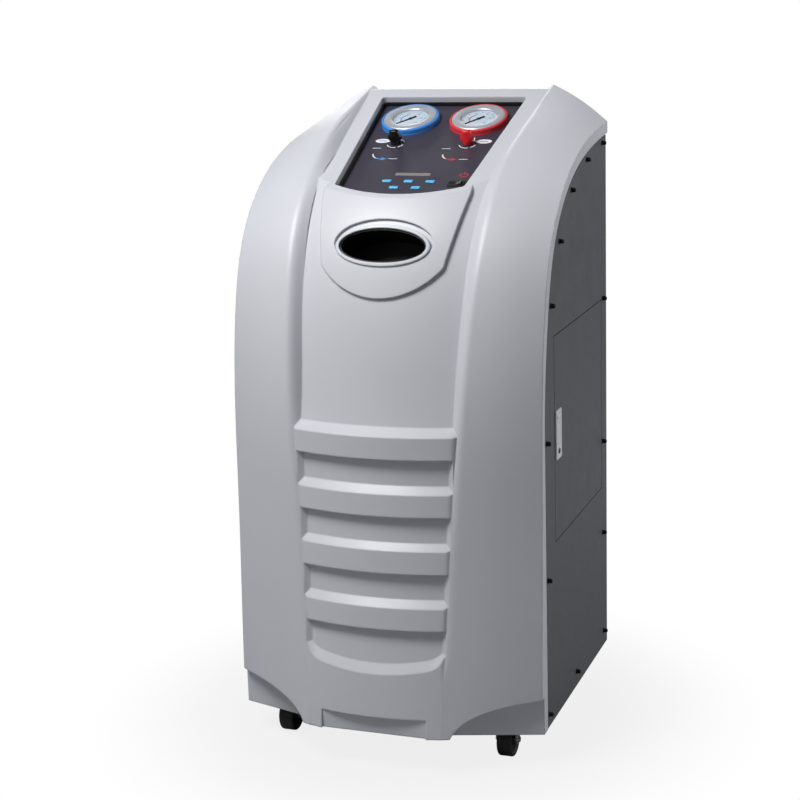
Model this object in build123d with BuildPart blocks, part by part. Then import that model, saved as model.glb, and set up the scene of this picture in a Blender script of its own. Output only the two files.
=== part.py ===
from build123d import *
from math import cos, radians, sin, sqrt, tan
import os

# Refrigerant recharge machine: a wheeled cabinet with a moulded front cover, a sloping
# instrument recess, sheet-metal sides and the recovery equipment inside.
# Frame: +X is the right side seen from the front, -Y is the front, +Z is up.
# The origin is on the floor, at the centre of the machine's box.

# Cabinet
cabinet_width = 450.0
sheet = 1.5
panel_flange = 15.0
panel_bottom = 47.0
panel_rear = 221.0
panel_gap = 1.0

# Front cover
cover_wall = 5.0
cover_bottom = 46.0
apron_bottom = 54.0
cover_rear = 232.0
frame_depth = 14.0
bow_radius = 360.0
crest_start = 93.0
crest_lean = 0.0548
channel_step = 13.0
shield_proud = 4.0

# Instrument recess
recess_slope = 21.46
recess_y = -55.7
recess_z = 797.7
window_length = 270.0
window_top_half = 113.5
window_low_half = 95.0
window_dip = 29.0
window_round = 8.0
bar_rise = 11.5
bar_back = 217.0
instrument_sheet = 3.0

# Ribs across the lower front
pocket_count = 3
rib_pitch = 79.5
rib_top = 476.0
rib_face = 31.0
rib_ledge = 11.0
pocket_depth = 10.0
pocket_half = 114.0
pocket_narrowing = 3.3
smile_half = 110.0
smile_low = 141.0
smile_ledge = 17.0
smile_lift = 18.0
smile_corner = 25.0
smile_turn = 16.0

# Foot scoops and apron notch
foot_half = 226.0
foot_y = -152.0
foot_inner_x = 98.0
foot_inner_y = -190.0
notch_half = 77.0
notch_top = 81.0
notch_y = -227.0

# Grip opening
grip_half = 63.0
grip_height_half = 25.0
grip_y = -136.5
grip_z = 724.6
grip_tilt = 25.0
grip_depth = 66.0
grip_wall = 2.5
lip_width = 5.0
lip_proud = 2.5

# Service door
door_front = -83.0
door_width = 271.0
door_low = 306.5
door_height = 290.0
door_gap = 1.5
door_flange = 10.0
pivot_back = 5.7
pivot_deep = 5.0
pivot_pin = 2.0
pivot_tab = 12.0

# Latch on the door
latch_width = 28.0
latch_height = 70.0
latch_plate = 2.0
latch_z = 457.0
latch_edge = 16.0
paddle_width = 17.0
paddle_height = 42.0
latch_pin = 1.5
button_radius = 4.0

# Castors
wheel_diameter = 50.0
wheel_width = 22.0
castor_trail = 18.0
castor_height = 64.0
castor_plate = 60.0
front_castor_inset = 59.0
rear_castor_inset = 73.0
front_castor_y = -113.5
rear_castor_y = 180.0
axle_radius = 4.0
fork_sheet = 2.0
running_gap = 0.05

# Gauges and controls, placed along the slope of the instrument panel
gauge_radius = 40.0
gauge_x = 53.0
gauge_s = 214.0
gauge_height = 10.0
gauge_can = 36.0
boot_radius = 43.5
knob_x = 55.0
knob_s = 146.0
stem_radius = 3.0
key_width = 13.6
key_height = 6.2
key_pitch = 32.3
key_row = 33.0
key_row_step = 18.2
key_proud = 0.9
key_gap = 0.3
display_width = 53.0
display_height = 9.0
display_s = 54.0
rocker_x = 72.0
rocker_s = 27.0

# Inside
tray_sheet = 2.0
tray_wall = 24.0
post = 20.0
post_front = -108.0
rail_clearance = 15.5
rear_post_rise = 178.0
tank_radius = 100.0
tank_length = 360.0
tank_side_gap = 25.0
tank_y = 85.0
fan_rise = 78.0
fan_radius = 68.0
port_x = 55.0
port_z = 520.0
port_radius = 5.56
inlet_side_gap = 75.0
inlet_z = 130.0

half_width = cabinet_width / 2
front_castor_x = half_width - front_castor_inset
rear_castor_x = half_width - rear_castor_inset
tank_x = tank_side_gap + tank_radius - half_width
inlet_x = half_width - inlet_side_gap
slope = radians(recess_slope)
wheel_radius = wheel_diameter / 2
tray_low = castor_height
tray_top = tray_low + tray_sheet

# Side outlines, as (y, z) points from the foot of the machine to its rear top corner
seam_points = [(-133, 470), (-114, 615), (-77, 715), (-6, 782), (84, 818), (221, 838.5)]
side_points = [(-163, 46), (-158, 200), (-151, 350), (-147.5, 470), (-130.5, 620),
               (-91, 725), (-14.5, 796), (79.5, 834.5), (232, 857)]
crest_points = [(-228, 46), (-210, 200), (-199, 350), (-191.5, 480), (-164, 630),
                (-118, 737), (-48, 809), (72, 868), (232, 913)]
foot_points = [(-222, 46), (-205, 200), (-193, 350), (-174, 495), (-148, 630),
               (-101, 742), (-50, 797), (72, 842), (232, 905)]
rib_points = [(-240, 46), (-222.6, 235), (-213.4, 398), (-211.4, 476)]
middle_points = [(-197, 487), (-178, 580), (-162, 647), (-129, 725), (-80, 788), (-21, 838)]
shield_points = [(-197, 487), (-178, 580), (-162, 647), (-132, 725), (-86, 786), (-30, 836)]


def cross_plane(x, lean=0.0):
    """Plane across the machine at x, leaning outwards with height; its axes are y and z."""
    return Plane(origin=(x, 0, 0), x_dir=(0, 1, 0), z_dir=(1, 0, -lean))


def inset_points(points, gap):
    """The outline's points moved towards the inside of the machine."""
    moved = []
    last = len(points) - 1
    for i, (y, z) in enumerate(points):
        before = Vector(*points[max(i - 1, 0)])
        after = Vector(*points[min(i + 1, last)])
        along = (after - before).normalized()
        moved.append((y + along.Y * gap, z - along.X * gap))
    return moved


def shifted(points, step):
    return [(y + step, z) for y, z in points]


def export(piece, name):
    piece.label = name
    export_step(piece, "parts/" + name + ".step")


os.makedirs("parts", exist_ok=True)


# Front cover

def outline_face(plane, points, low, rear):
    first = (points[0][0], low)
    last = (rear, points[-1][1] + (rear - points[-1][0]) * 0.2)
    with BuildSketch(plane) as face:
        with BuildLine():
            Spline(first, *points[1:-1], last)
            Polyline(last, (rear, low), first)
        make_face()
    return face.sketch


def pillar_solid(inset):
    """Both pillars with the drafted walls of the channel between them."""
    low = cover_bottom - 6 * inset
    rear = cover_rear + 6 * inset
    crest_plane = cross_plane(crest_start, crest_lean)
    foot_plane = cross_plane(crest_start - channel_step, crest_lean)
    side = outline_face(cross_plane(half_width - inset), inset_points(side_points, inset), low, rear)
    crest = outline_face(crest_plane, inset_points(crest_points, inset), low, rear)
    foot = outline_face(foot_plane, inset_points(foot_points, inset), low, rear)
    with BuildPart() as pillars:
        loft([side, crest], ruled=True)
        loft([crest, foot], ruled=True)
        mirror(about=Plane.YZ)
    return pillars.part


def bowed_solid(lower, upper, low):
    """Everything behind the bowed front, whose middle outline is given."""
    span = 150.0
    sections = []
    for x in (-span, 0, span):
        with BuildSketch(Plane(origin=(x, x * x / (2 * bow_radius), 0), x_dir=(0, 1, 0), z_dir=(1, 0, 0))) as face:
            with BuildLine():
                rise = Spline((lower[0][0], low), *lower[1:])
                Line(rise @ 1, upper[0])
                top = Spline(*upper)
                Polyline(top @ 1, (0, 960), (300, 960), (300, low), rise @ 0)
            make_face()
        sections.append(face.sketch)
    with BuildPart() as bowed:
        loft(sections)
    return bowed.part


def under_slope(depth):
    """Everything under the plane of the instrument recess and its rear bar."""
    drop = depth / cos(slope)
    front_z = recess_z + (-300 - recess_y) * tan(slope)
    back_y = recess_y + window_length * cos(slope)
    back_z = recess_z + window_length * sin(slope)
    with BuildPart() as prism:
        with BuildSketch(Plane.YZ):
            with BuildLine():
                Polyline((-300, front_z - drop), (back_y, back_z - drop), (bar_back, back_z + bar_rise - drop),
                         (300, back_z + bar_rise - drop), (300, -20), (-300, -20), close=True)
            make_face()
        extrude(amount=150, both=True)
    return prism.part


def between_crests():
    low_x = crest_start - 20 * crest_lean
    high_x = crest_start + 960 * crest_lean
    with BuildPart() as wedge:
        with BuildSketch(Plane.XZ):
            with BuildLine():
                Polyline((-low_x, -20), (low_x, -20), (high_x, 960), (-high_x, 960), close=True)
            make_face()
        extrude(amount=300, both=True)
    return wedge.part


def shield_prism():
    """Front view of the raised shield that runs down from the instrument recess."""
    with BuildPart() as prism:
        with BuildSketch(Plane.XZ) as front:
            with BuildLine():
                right = Line((110, 800), (88, 696))
                left = Line((-110, 800), (-88, 696))
                ThreePointArc(right @ 1, (0, 656), left @ 1)
                Line(left @ 0, right @ 0)
            make_face()
            fillet(front.vertices().group_by(Axis.Y)[0], 14)
        extrude(amount=300, both=True)
    return prism.part


def seam_face(plane, grow, low, rear):
    """Outline of a side panel, grown outwards, reaching down to low and back to rear."""
    points = inset_points(seam_points, -grow)
    points[0] = (seam_points[0][0] - grow, seam_points[0][1])
    points[-1] = (rear, points[-1][1] + (rear - panel_rear) * 0.12)
    with BuildSketch(plane) as face:
        with BuildLine():
            curve = Spline(*points, tangents=[(0, 1), (1, 0.12)])
            Polyline(curve @ 1, (rear, low), (points[0][0], low), curve @ 0)
        make_face()
    return face.sketch


def scoop_solid(grow):
    """Scoop over one front castor, cut back from the foot of the pillar."""
    along = Vector(foot_half - foot_inner_x, foot_y - foot_inner_y, 0)
    normal = Vector(along.Y, -along.X, 0).normalized()
    start = Vector(foot_inner_x, foot_inner_y, 0) - normal * grow
    plane = Plane(origin=start, x_dir=along, z_dir=normal)
    reach = along.length + 30
    with BuildPart() as scoop:
        with BuildSketch(plane):
            with BuildLine():
                arch = Spline((-grow, 50 + grow), (8, 64 + grow), (40, 85 + grow), (90, 97 + grow),
                              (reach, 104 + grow))
                Polyline(arch @ 1, (reach, -30), (-grow, -30), arch @ 0)
            make_face()
        extrude(amount=90)
        mirror(about=Plane.YZ)
    return scoop.part


def notch_solid(grow):
    with BuildPart() as notch:
        with BuildSketch(Plane.XZ.offset(-notch_y - grow)):
            with Locations((0, (notch_top - 20) / 2)):
                Rectangle(2 * (notch_half + grow), notch_top + 20 + 2 * grow)
        extrude(amount=60)
    return notch.part


def recess_tool(low_z, high_z, half, ledge, rise):
    """Recess in the ribbed front: a level top, a sloping ledge along its foot and drafted ends.

    rise maps a share of the half width to the foot's height there, above low_z.
    """
    sections = []
    for share in sorted({sign * share for share in rise for sign in (-1, 1)}):
        x = share * half
        bow = x * x / (2 * bow_radius)
        foot_z = low_z + rise[abs(share)]
        foot_y = surface_y(foot_z)
        high_y = surface_y(high_z)
        with BuildSketch(Plane(origin=(x, bow, 0), x_dir=(0, 1, 0), z_dir=(1, 0, 0))) as face:
            with BuildLine():
                Polyline((foot_y - 2 * pocket_depth, foot_z - 2 * ledge),
                         (foot_y + pocket_depth, foot_z + ledge),
                         (high_y + pocket_depth, high_z),
                         (high_y - 2 * pocket_depth, high_z), close=True)
            make_face()
        sections.append(face.sketch)
    near_y = surface_y((low_z + high_z) / 2) + half * half / (2 * bow_radius)
    with BuildPart() as tool:
        loft(sections)
        with BuildSketch(Plane.XY.offset(low_z - 2 * ledge)):
            with BuildLine():
                Polyline((-half - 1, near_y - 60), (half + 1, near_y - 60), (half + 1, near_y),
                         (half - 2 * pocket_depth, near_y + 2 * pocket_depth),
                         (-half + 2 * pocket_depth, near_y + 2 * pocket_depth),
                         (-half - 1, near_y), close=True)
            make_face()
        extrude(amount=high_z - low_z + 4 * ledge, mode=Mode.INTERSECT)
    return tool.part


def pocket_tool(index):
    low_z = rib_top - (index + 1) * rib_pitch
    high_z = rib_top - index * rib_pitch - rib_face
    return recess_tool(low_z, high_z, pocket_half - index * pocket_narrowing, rib_ledge, {1: 0, 0: 0})


def surface_y(z):
    """Depth of the ribs' front surface on the middle line at height z."""
    for (low_y, low_z), (high_y, high_z) in zip(rib_points, rib_points[1:]):
        if z <= high_z:
            return low_y + (high_y - low_y) * (z - low_z) / (high_z - low_z)
    return rib_points[-1][0]


def smile_tool():
    """Lowest recess, whose foot curves up towards rounded ends."""
    high_z = rib_top - pocket_count * rib_pitch - rib_face
    start = 1 - smile_corner / smile_half
    rise = {}
    for share in (0, 0.4, start, (1 + start) / 2, 1):
        turn = max(0, (share - start) / (1 - start))
        rise[share] = smile_lift * share ** 2 + smile_turn * turn ** 2
    return recess_tool(smile_low, high_z, smile_half, smile_ledge, rise)


def window_face(grow):
    low = window_low_half + grow
    top = window_top_half + grow
    with BuildSketch() as window:
        with BuildLine():
            sill = ThreePointArc((-low, -4 - grow), (0, -window_dip - grow), (low, -4 - grow))
            Polyline(sill @ 1, (top, window_length + grow), (-top, window_length + grow), sill @ 0)
        make_face()
        fillet(window.vertices(), window_round)
    return window.sketch


slope_frame = Plane(origin=(0, recess_y, recess_z), x_dir=(1, 0, 0), z_dir=(0, -sin(slope), cos(slope)))
grip_axis = radians(grip_tilt)
grip_plane = Plane(origin=(0, grip_y, grip_z), x_dir=(1, 0, 0), z_dir=(0, -cos(grip_axis), sin(grip_axis)))


def shield_outer(extra):
    """Everything behind the shield's surface moved forward by extra."""
    proud = shield_proud + extra
    with BuildPart() as shield:
        add(bowed_solid(shifted(rib_points, -proud), shifted(shield_points, -proud), cover_bottom))
        add(under_slope(0), mode=Mode.INTERSECT)
    return shield.part


with BuildPart() as shield:
    add(shield_outer(0))
    add(shield_prism(), mode=Mode.INTERSECT)

with BuildPart() as grip_lip:
    add(shield_outer(lip_proud))
    with BuildSketch(grip_plane.offset(-30)):
        Ellipse(grip_half + lip_width, grip_height_half + lip_width)
    extrude(amount=60, mode=Mode.INTERSECT)

with BuildPart() as middle:
    add(bowed_solid(rib_points, middle_points, cover_bottom))
    add(under_slope(0), mode=Mode.INTERSECT)
    add(between_crests(), mode=Mode.INTERSECT)

with BuildPart() as recess_backing:
    with BuildSketch(Plane.XY.offset(smile_low)):
        Rectangle(2 * (pocket_half + cover_wall), 2 * cabinet_width)
    extrude(amount=rib_top - smile_low)
    add(bowed_solid(shifted(rib_points, pocket_depth + cover_wall), middle_points, -20), mode=Mode.SUBTRACT)

with BuildPart() as cavity:
    add(bowed_solid(shifted(rib_points, pocket_depth + cover_wall), shifted(middle_points, cover_wall), -20))
    add(under_slope(frame_depth), mode=Mode.INTERSECT)
    add(between_crests(), mode=Mode.INTERSECT)
    add(pillar_solid(cover_wall))
    add(recess_backing.part, mode=Mode.SUBTRACT)
    add(scoop_solid(cover_wall), mode=Mode.SUBTRACT)
    add(notch_solid(cover_wall), mode=Mode.SUBTRACT)

with BuildPart() as front_cover:
    add(pillar_solid(0))
    add(middle.part)
    add(shield.part)
    add(grip_lip.part)
    split(bisect_by=Plane.XZ.offset(-cover_rear), keep=Keep.TOP)
    add(cavity.part, mode=Mode.SUBTRACT)
    extrude(seam_face(cross_plane(0), panel_gap, -20, cover_rear + 20), amount=half_width + 10, both=True,
            mode=Mode.SUBTRACT)
    add(scoop_solid(0), mode=Mode.SUBTRACT)
    add(notch_solid(0), mode=Mode.SUBTRACT)
    with BuildSketch(Plane.XY.offset(apron_bottom)):
        with Locations((0, foot_inner_y)):
            Rectangle(2 * foot_inner_x + 40, 120, align=(Align.CENTER, Align.MAX))
    extrude(amount=-20, mode=Mode.SUBTRACT)
    for index in range(pocket_count):
        add(pocket_tool(index), mode=Mode.SUBTRACT)
    add(smile_tool(), mode=Mode.SUBTRACT)
    extrude(slope_frame * window_face(0), amount=80, both=True, mode=Mode.SUBTRACT)
    with BuildSketch(grip_plane):
        Ellipse(grip_half, grip_height_half)
    extrude(amount=45, both=True, mode=Mode.SUBTRACT)

export(front_cover.part, "front_cover")


# Grip liner, seated in the opening

with BuildPart() as grip_cup:
    with BuildSketch(grip_plane.offset(-grip_depth)):
        Ellipse(grip_half, grip_height_half)
    extrude(amount=grip_depth + 12)
    with BuildSketch(grip_plane.offset(grip_wall - grip_depth)):
        Ellipse(grip_half - grip_wall, grip_height_half - grip_wall)
    extrude(amount=grip_depth + 20, mode=Mode.SUBTRACT)
    add(shield_outer(-1.5), mode=Mode.INTERSECT)

export(grip_cup.part, "grip_cup")


# Side panels, the right one with the service opening and the door's pivots

door_rear = door_front + door_width
door_top = door_low + door_height
pivot_x = half_width - pivot_deep
pivot_y = door_rear - pivot_back


def side_panel():
    with BuildPart() as panel:
        plane = cross_plane(half_width - panel_flange)
        extrude(seam_face(plane, 0, panel_bottom, panel_rear), amount=panel_flange)
        extrude(seam_face(plane, -sheet, panel_bottom + sheet, panel_rear - sheet),
                amount=panel_flange - sheet, mode=Mode.SUBTRACT)
    return panel.part


def pivot_tab_at(low, pin_low, pin_height):
    """Tab behind the panel with the pin that the door turns on."""
    with BuildPart() as tab:
        with BuildSketch(Plane.XY.offset(low)):
            with Locations((half_width - sheet - pivot_tab / 2, pivot_y)):
                Rectangle(pivot_tab, pivot_tab)
        extrude(amount=tray_sheet)
        with BuildSketch(Plane.XY.offset(pin_low)):
            with Locations((pivot_x, pivot_y)):
                Circle(pivot_pin)
        extrude(amount=pin_height)
    return tab.part


pin_reach = 7.0
with BuildPart() as right_side_panel:
    add(side_panel())
    with BuildSketch(cross_plane(half_width - 5)):
        with Locations((door_front + door_width / 2, door_low + door_height / 2)):
            Rectangle(door_width + 2 * door_gap, door_height + 2 * door_gap)
    extrude(amount=10, mode=Mode.SUBTRACT)
    add(pivot_tab_at(door_top + door_gap, door_top + door_gap - pin_reach, pin_reach))
    add(pivot_tab_at(door_low - door_gap - tray_sheet, door_low - door_gap, pin_reach))

export(right_side_panel.part, "right_side_panel")

with BuildPart() as left_side_panel:
    add(mirror(side_panel(), about=Plane.YZ))

export(left_side_panel.part, "left_side_panel")


# Service door with its latch

latch_y = door_front + latch_edge
body_width = latch_width - 8
body_height = latch_height - 6
paddle_z = latch_z + 8
button_z = latch_z - 24

with BuildPart() as service_door:
    with BuildSketch(cross_plane(half_width - sheet)):
        with Locations((door_front + door_width / 2, door_low + door_height / 2)):
            Rectangle(door_width, door_height)
        with Locations((latch_y, latch_z)):
            Rectangle(body_width, body_height, mode=Mode.SUBTRACT)
    extrude(amount=sheet)
    for low in (door_low, door_top - sheet):
        with BuildSketch(Plane.XY.offset(low)):
            with Locations((half_width - sheet - door_flange / 2, door_front + door_width / 2)):
                Rectangle(door_flange, door_width)
            with Locations((pivot_x, pivot_y)):
                Circle(pivot_pin + running_gap, mode=Mode.SUBTRACT)
        extrude(amount=sheet)
    with BuildSketch(Plane.XY.offset(door_low)):
        with Locations((half_width - sheet - door_flange / 2, door_front + sheet / 2)):
            Rectangle(door_flange, sheet)
    extrude(amount=door_height)

export(service_door.part, "service_door")

paddle_sheet = 3.0
paddle_pivot_x = half_width + latch_plate - paddle_sheet / 2 - 0.5
paddle_pivot_z = paddle_z + paddle_height / 2 - 3.5

with BuildPart() as latch_housing:
    with BuildSketch(cross_plane(half_width - 13)):
        with Locations((latch_y, latch_z)):
            Rectangle(body_width, body_height)
    extrude(amount=13)
    with BuildSketch(cross_plane(half_width)):
        with Locations((latch_y, latch_z)):
            RectangleRounded(latch_width, latch_height, 3)
    extrude(amount=latch_plate)
    with BuildSketch(cross_plane(half_width - 11)):
        with Locations((latch_y, paddle_z)):
            Rectangle(paddle_width + 0.6, paddle_height + 1.2)
        with Locations((latch_y, button_z)):
            Circle(button_radius + 0.15)
    extrude(amount=20, mode=Mode.SUBTRACT)
    with BuildSketch(Plane.XZ.offset(-latch_y - body_width / 2)):
        with Locations((paddle_pivot_x, paddle_pivot_z)):
            Circle(latch_pin)
    extrude(amount=body_width)

export(latch_housing.part, "latch_housing")

with BuildPart() as latch_paddle:
    with BuildSketch(cross_plane(half_width + latch_plate - paddle_sheet)):
        with Locations((latch_y, paddle_z)):
            Rectangle(paddle_width, paddle_height)
    extrude(amount=paddle_sheet)
    with BuildSketch(Plane.XZ.offset(-latch_y - paddle_width / 2)):
        with Locations((paddle_pivot_x, paddle_pivot_z)):
            Circle(latch_pin + 1.6)
    extrude(amount=paddle_width)
    with BuildSketch(Plane.XZ.offset(-latch_y - paddle_width / 2)):
        with Locations((paddle_pivot_x, paddle_pivot_z)):
            Circle(latch_pin + running_gap)
    extrude(amount=paddle_width, mode=Mode.SUBTRACT)

export(latch_paddle.part, "latch_paddle")

with BuildPart() as latch_button:
    with BuildSketch(cross_plane(half_width - 7)):
        with Locations((latch_y, button_z)):
            Circle(button_radius)
    extrude(amount=7 + latch_plate + 1)
    chamfer(latch_button.faces().sort_by(Axis.X)[-1].edges(), 0.6)

export(latch_button.part, "latch_button")


# Instrument panel under the recess

def on_panel(x, along, height):
    """Plane on the instrument panel's surface, raised by height."""
    origin = slope_frame.from_local_coords((x, along, height - frame_depth))
    return Plane(origin=origin, x_dir=slope_frame.x_dir, z_dir=slope_frame.z_dir)


key_places = [(i * key_pitch - key_pitch, key_row) for i in range(3)]
key_places += [(i * key_pitch - key_pitch / 2, key_row - key_row_step) for i in range(2)]
rocker_length = 16.4
rocker_width = 8.4
rocker_gap = 0.6
switch_length = 20.0
switch_width = 12.0

with BuildPart() as instrument_panel:
    extrude(on_panel(0, 0, -instrument_sheet) * window_face(12), amount=instrument_sheet)
    with BuildSketch(on_panel(0, 0, -10)):
        with Locations((-gauge_x, gauge_s), (gauge_x, gauge_s)):
            Circle(gauge_can + 0.3)
        with Locations((-knob_x, knob_s), (knob_x, knob_s)):
            Circle(stem_radius + 0.3)
        with Locations(*key_places):
            Rectangle(key_width + 2 * key_gap, key_height + 2 * key_gap)
        with Locations((0, display_s)):
            Rectangle(display_width, display_height)
        with Locations((rocker_x, rocker_s)):
            Rectangle(switch_length, switch_width)
    extrude(amount=20, mode=Mode.SUBTRACT)

export(instrument_panel.part, "instrument_panel")

board_height = -11.0
board_sheet = 1.6
with BuildPart() as control_board:
    with BuildSketch(on_panel(0, 0, board_height)):
        with Locations((0, 30)):
            Rectangle(112, 80)
    extrude(amount=board_sheet)
    with BuildSketch(on_panel(0, 0, board_height)):
        with Locations(*[(x, 30 + y) for x in (-50, 50) for y in (-34, 34)]):
            Circle(3)
    extrude(amount=-board_height - instrument_sheet)

export(control_board.part, "control_board")

with BuildPart() as display:
    with BuildSketch(on_panel(0, display_s, board_height + board_sheet)):
        Rectangle(display_width, display_height)
    extrude(amount=-board_height - board_sheet - 0.5)

export(display.part, "display")

for number, (key_x, key_s) in enumerate(key_places, 1):
    with BuildPart() as key:
        with BuildSketch(on_panel(key_x, key_s, -instrument_sheet - 0.2)):
            RectangleRounded(key_width, key_height, 1.2)
        extrude(amount=instrument_sheet + 0.2 + key_proud)
        chamfer(key.faces().sort_by(Axis(slope_frame.origin, slope_frame.z_dir))[-1].edges(), 0.3)
    export(key.part, "key_" + str(number))

rocker_pin = 1.0
rocker_throw = radians(8)
rocker_side = Plane(origin=on_panel(rocker_x, rocker_s, -1).origin, z_dir=-slope_frame.y_dir,
                    x_dir=slope_frame.x_dir * cos(rocker_throw) + slope_frame.z_dir * sin(rocker_throw))

with BuildPart() as power_switch_housing:
    with BuildSketch(on_panel(rocker_x, rocker_s, 0)):
        RectangleRounded(switch_length + 4, switch_width + 3, 1.5)
    extrude(amount=1.2)
    with BuildSketch(on_panel(rocker_x, rocker_s, -18)):
        Rectangle(switch_length, switch_width)
    extrude(amount=18)
    with BuildSketch(on_panel(rocker_x, rocker_s, -7)):
        Rectangle(rocker_length + 2 * rocker_gap, rocker_width + 0.4)
    extrude(amount=10, mode=Mode.SUBTRACT)
    with BuildSketch(rocker_side):
        Circle(rocker_pin + running_gap)
    extrude(amount=switch_width, both=True, mode=Mode.SUBTRACT)

export(power_switch_housing.part, "power_switch_housing")

with BuildPart() as power_rocker:
    with BuildSketch(rocker_side):
        with BuildLine():
            half = rocker_length / 2
            Polyline((-half, -2.2), (half, -2.2), (half, 3.2), (0, 2.2), (-half, 3.2), close=True)
        make_face()
    extrude(amount=rocker_width / 2, both=True)
    with BuildSketch(rocker_side):
        Circle(rocker_pin)
    extrude(amount=switch_width / 2 - 0.4, both=True)

export(power_rocker.part, "power_rocker")


# Gauges: can with bezel, rubber boot, dial, pointer and lens

spindle_radius = 1.2
dial_height = gauge_height - 5
lens_low = gauge_height - 2.5
bezel_inner = 26.0
ring_inner = 34.5


def turned(plane, outline):
    """Revolve a closed (radius, height) outline about the plane's normal."""
    section = Plane(origin=plane.origin, x_dir=plane.x_dir, z_dir=-plane.y_dir)
    with BuildPart() as piece:
        with BuildSketch(section):
            with BuildLine():
                Polyline(*outline, close=True)
            make_face()
        revolve(axis=Axis(plane.origin, plane.z_dir))
    return piece.part


for side_name, side in (("low", -1), ("high", 1)):
    seat = on_panel(side * gauge_x, gauge_s, 0)
    case = turned(seat, [(0, -44), (6, -44), (6, -28), (gauge_can, -28), (gauge_can, 0), (gauge_radius, 0),
                         (gauge_radius, gauge_height - 1), (gauge_radius - 1, gauge_height),
                         (bezel_inner, gauge_height), (bezel_inner, lens_low + 1.1),
                         (ring_inner, lens_low + 1.1), (ring_inner, dial_height),
                         (spindle_radius + running_gap, dial_height), (spindle_radius + running_gap, -4),
                         (0, -4)])
    export(case, side_name + "_gauge_case")
    boot = turned(seat, [(gauge_radius, 0), (boot_radius, 0), (boot_radius - 1, gauge_height - 1.6),
                         (boot_radius - 2, gauge_height - 0.8), (gauge_radius, gauge_height - 0.8)])
    export(boot, side_name + "_gauge_boot")
    dial = turned(seat, [(spindle_radius + 0.4, dial_height), (ring_inner, dial_height),
                         (ring_inner, dial_height + 0.6), (spindle_radius + 0.4, dial_height + 0.6)])
    export(dial, side_name + "_gauge_dial")
    lens = turned(seat, [(0, lens_low), (ring_inner, lens_low), (ring_inner, lens_low + 1.1), (0, lens_low + 1.1)])
    export(lens, side_name + "_gauge_lens")
    with BuildPart() as pointer:
        with BuildSketch(on_panel(side * gauge_x, gauge_s, dial_height + 1)):
            Circle(3)
            with BuildLine():
                Polyline((5.5, 8.5), (-18.6, -17.4), (-17.4, -18.6), (8.5, 5.5), close=True)
            make_face()
        extrude(amount=0.6)
        with BuildSketch(on_panel(side * gauge_x, gauge_s, -3.5)):
            Circle(spindle_radius)
        extrude(amount=dial_height + 4.5)
    export(pointer.part, side_name + "_gauge_pointer")


# Valve knobs and the manifold below them

manifold_top = -20.0
manifold_height = 30.0
stem_depth = 8.0
for side_name, side in (("low", -1), ("high", 1)):
    with BuildPart() as knob:
        with BuildSketch(on_panel(side * knob_x, knob_s, manifold_top - stem_depth)):
            Circle(stem_radius)
        extrude(amount=stem_depth - manifold_top + 1)
        with BuildSketch(on_panel(side * knob_x, knob_s, 0.4)):
            Circle(7.5)
        extrude(amount=8)
        with BuildSketch(on_panel(side * knob_x, knob_s, 8)):
            RectangleRounded(27, 13, 6)
        with BuildSketch(on_panel(side * knob_x, knob_s, 22)):
            RectangleRounded(20, 9, 4)
        loft()
    export(knob.part, side_name + "_valve_knob")

with BuildPart() as manifold_block:
    with BuildSketch(on_panel(0, knob_s, manifold_top - manifold_height)):
        Rectangle(150, 32)
    extrude(amount=manifold_height)
    with BuildSketch(on_panel(0, knob_s, manifold_top)):
        with Locations((-25, 0), (25, 0)):
            Circle(5)
    extrude(amount=-manifold_top - instrument_sheet)
    with BuildSketch(on_panel(0, knob_s, manifold_top - stem_depth - 1)):
        with Locations((-knob_x, 0), (knob_x, 0)):
            Circle(stem_radius + running_gap)
    extrude(amount=stem_depth + 2, mode=Mode.SUBTRACT)

export(manifold_block.part, "manifold_block")


# Base tray, chassis frame and shelf

frame_half = half_width - sheet
tray_front = -131.4
tongue_half = 200.0
tongue_front = -146.0
tray_rear = panel_rear - sheet


def tray_face(height, gap):
    with BuildSketch(Plane.XY.offset(height)) as face:
        with BuildLine():
            Polyline((-frame_half + gap, tray_rear - gap), (-frame_half + gap, tray_front + gap),
                     (-tongue_half + gap, tray_front + gap), (-tongue_half + gap, tongue_front + gap),
                     (tongue_half - gap, tongue_front + gap), (tongue_half - gap, tray_front + gap),
                     (frame_half - gap, tray_front + gap), (frame_half - gap, tray_rear - gap), close=True)
        make_face()
    return face.sketch


with BuildPart() as base_tray:
    extrude(tray_face(tray_low, 0), amount=tray_wall)
    extrude(tray_face(tray_top, tray_sheet), amount=tray_wall, mode=Mode.SUBTRACT)

export(base_tray.part, "base_tray")

post_wall = 2.0
rail_z = door_top + rail_clearance
front_post_top = rail_z + post
rear_post_top = front_post_top + rear_post_rise + tray_sheet


post_outer = frame_half - tray_sheet
post_inner = post_outer - post
rear_post_back = tray_rear - tray_sheet
rear_post_low = rear_post_back - post
members = []
for side in (-1, 1):
    near, far = sorted((side * post_inner, side * post_outer))
    members.append(((near, post_front, tray_top), (far, post_front + post, front_post_top)))
    members.append(((near, rear_post_low, tray_top), (far, rear_post_back, rear_post_top)))
    members.append(((near, post_front + post, rail_z), (far, rear_post_low, rail_z + post)))
members.append(((-post_inner, post_front, rail_z), (post_inner, post_front + post, rail_z + post)))
members.append(((-post_inner, rear_post_low, rear_post_top - post), (post_inner, rear_post_back, rear_post_top)))
members.append(((-post_inner, rear_post_low, rail_z), (post_inner, rear_post_back, rail_z + post)))


def tubes(gap, mode):
    """The frame's tubes as boxes, shrunk by gap on their four sides but not at their ends."""
    for low, high in members:
        size = [high[i] - low[i] for i in range(3)]
        length = max(size)
        size = [side if side == length else side - 2 * gap for side in size]
        with Locations(tuple((low[i] + high[i]) / 2 for i in range(3))):
            Box(*size, mode=mode)


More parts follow.
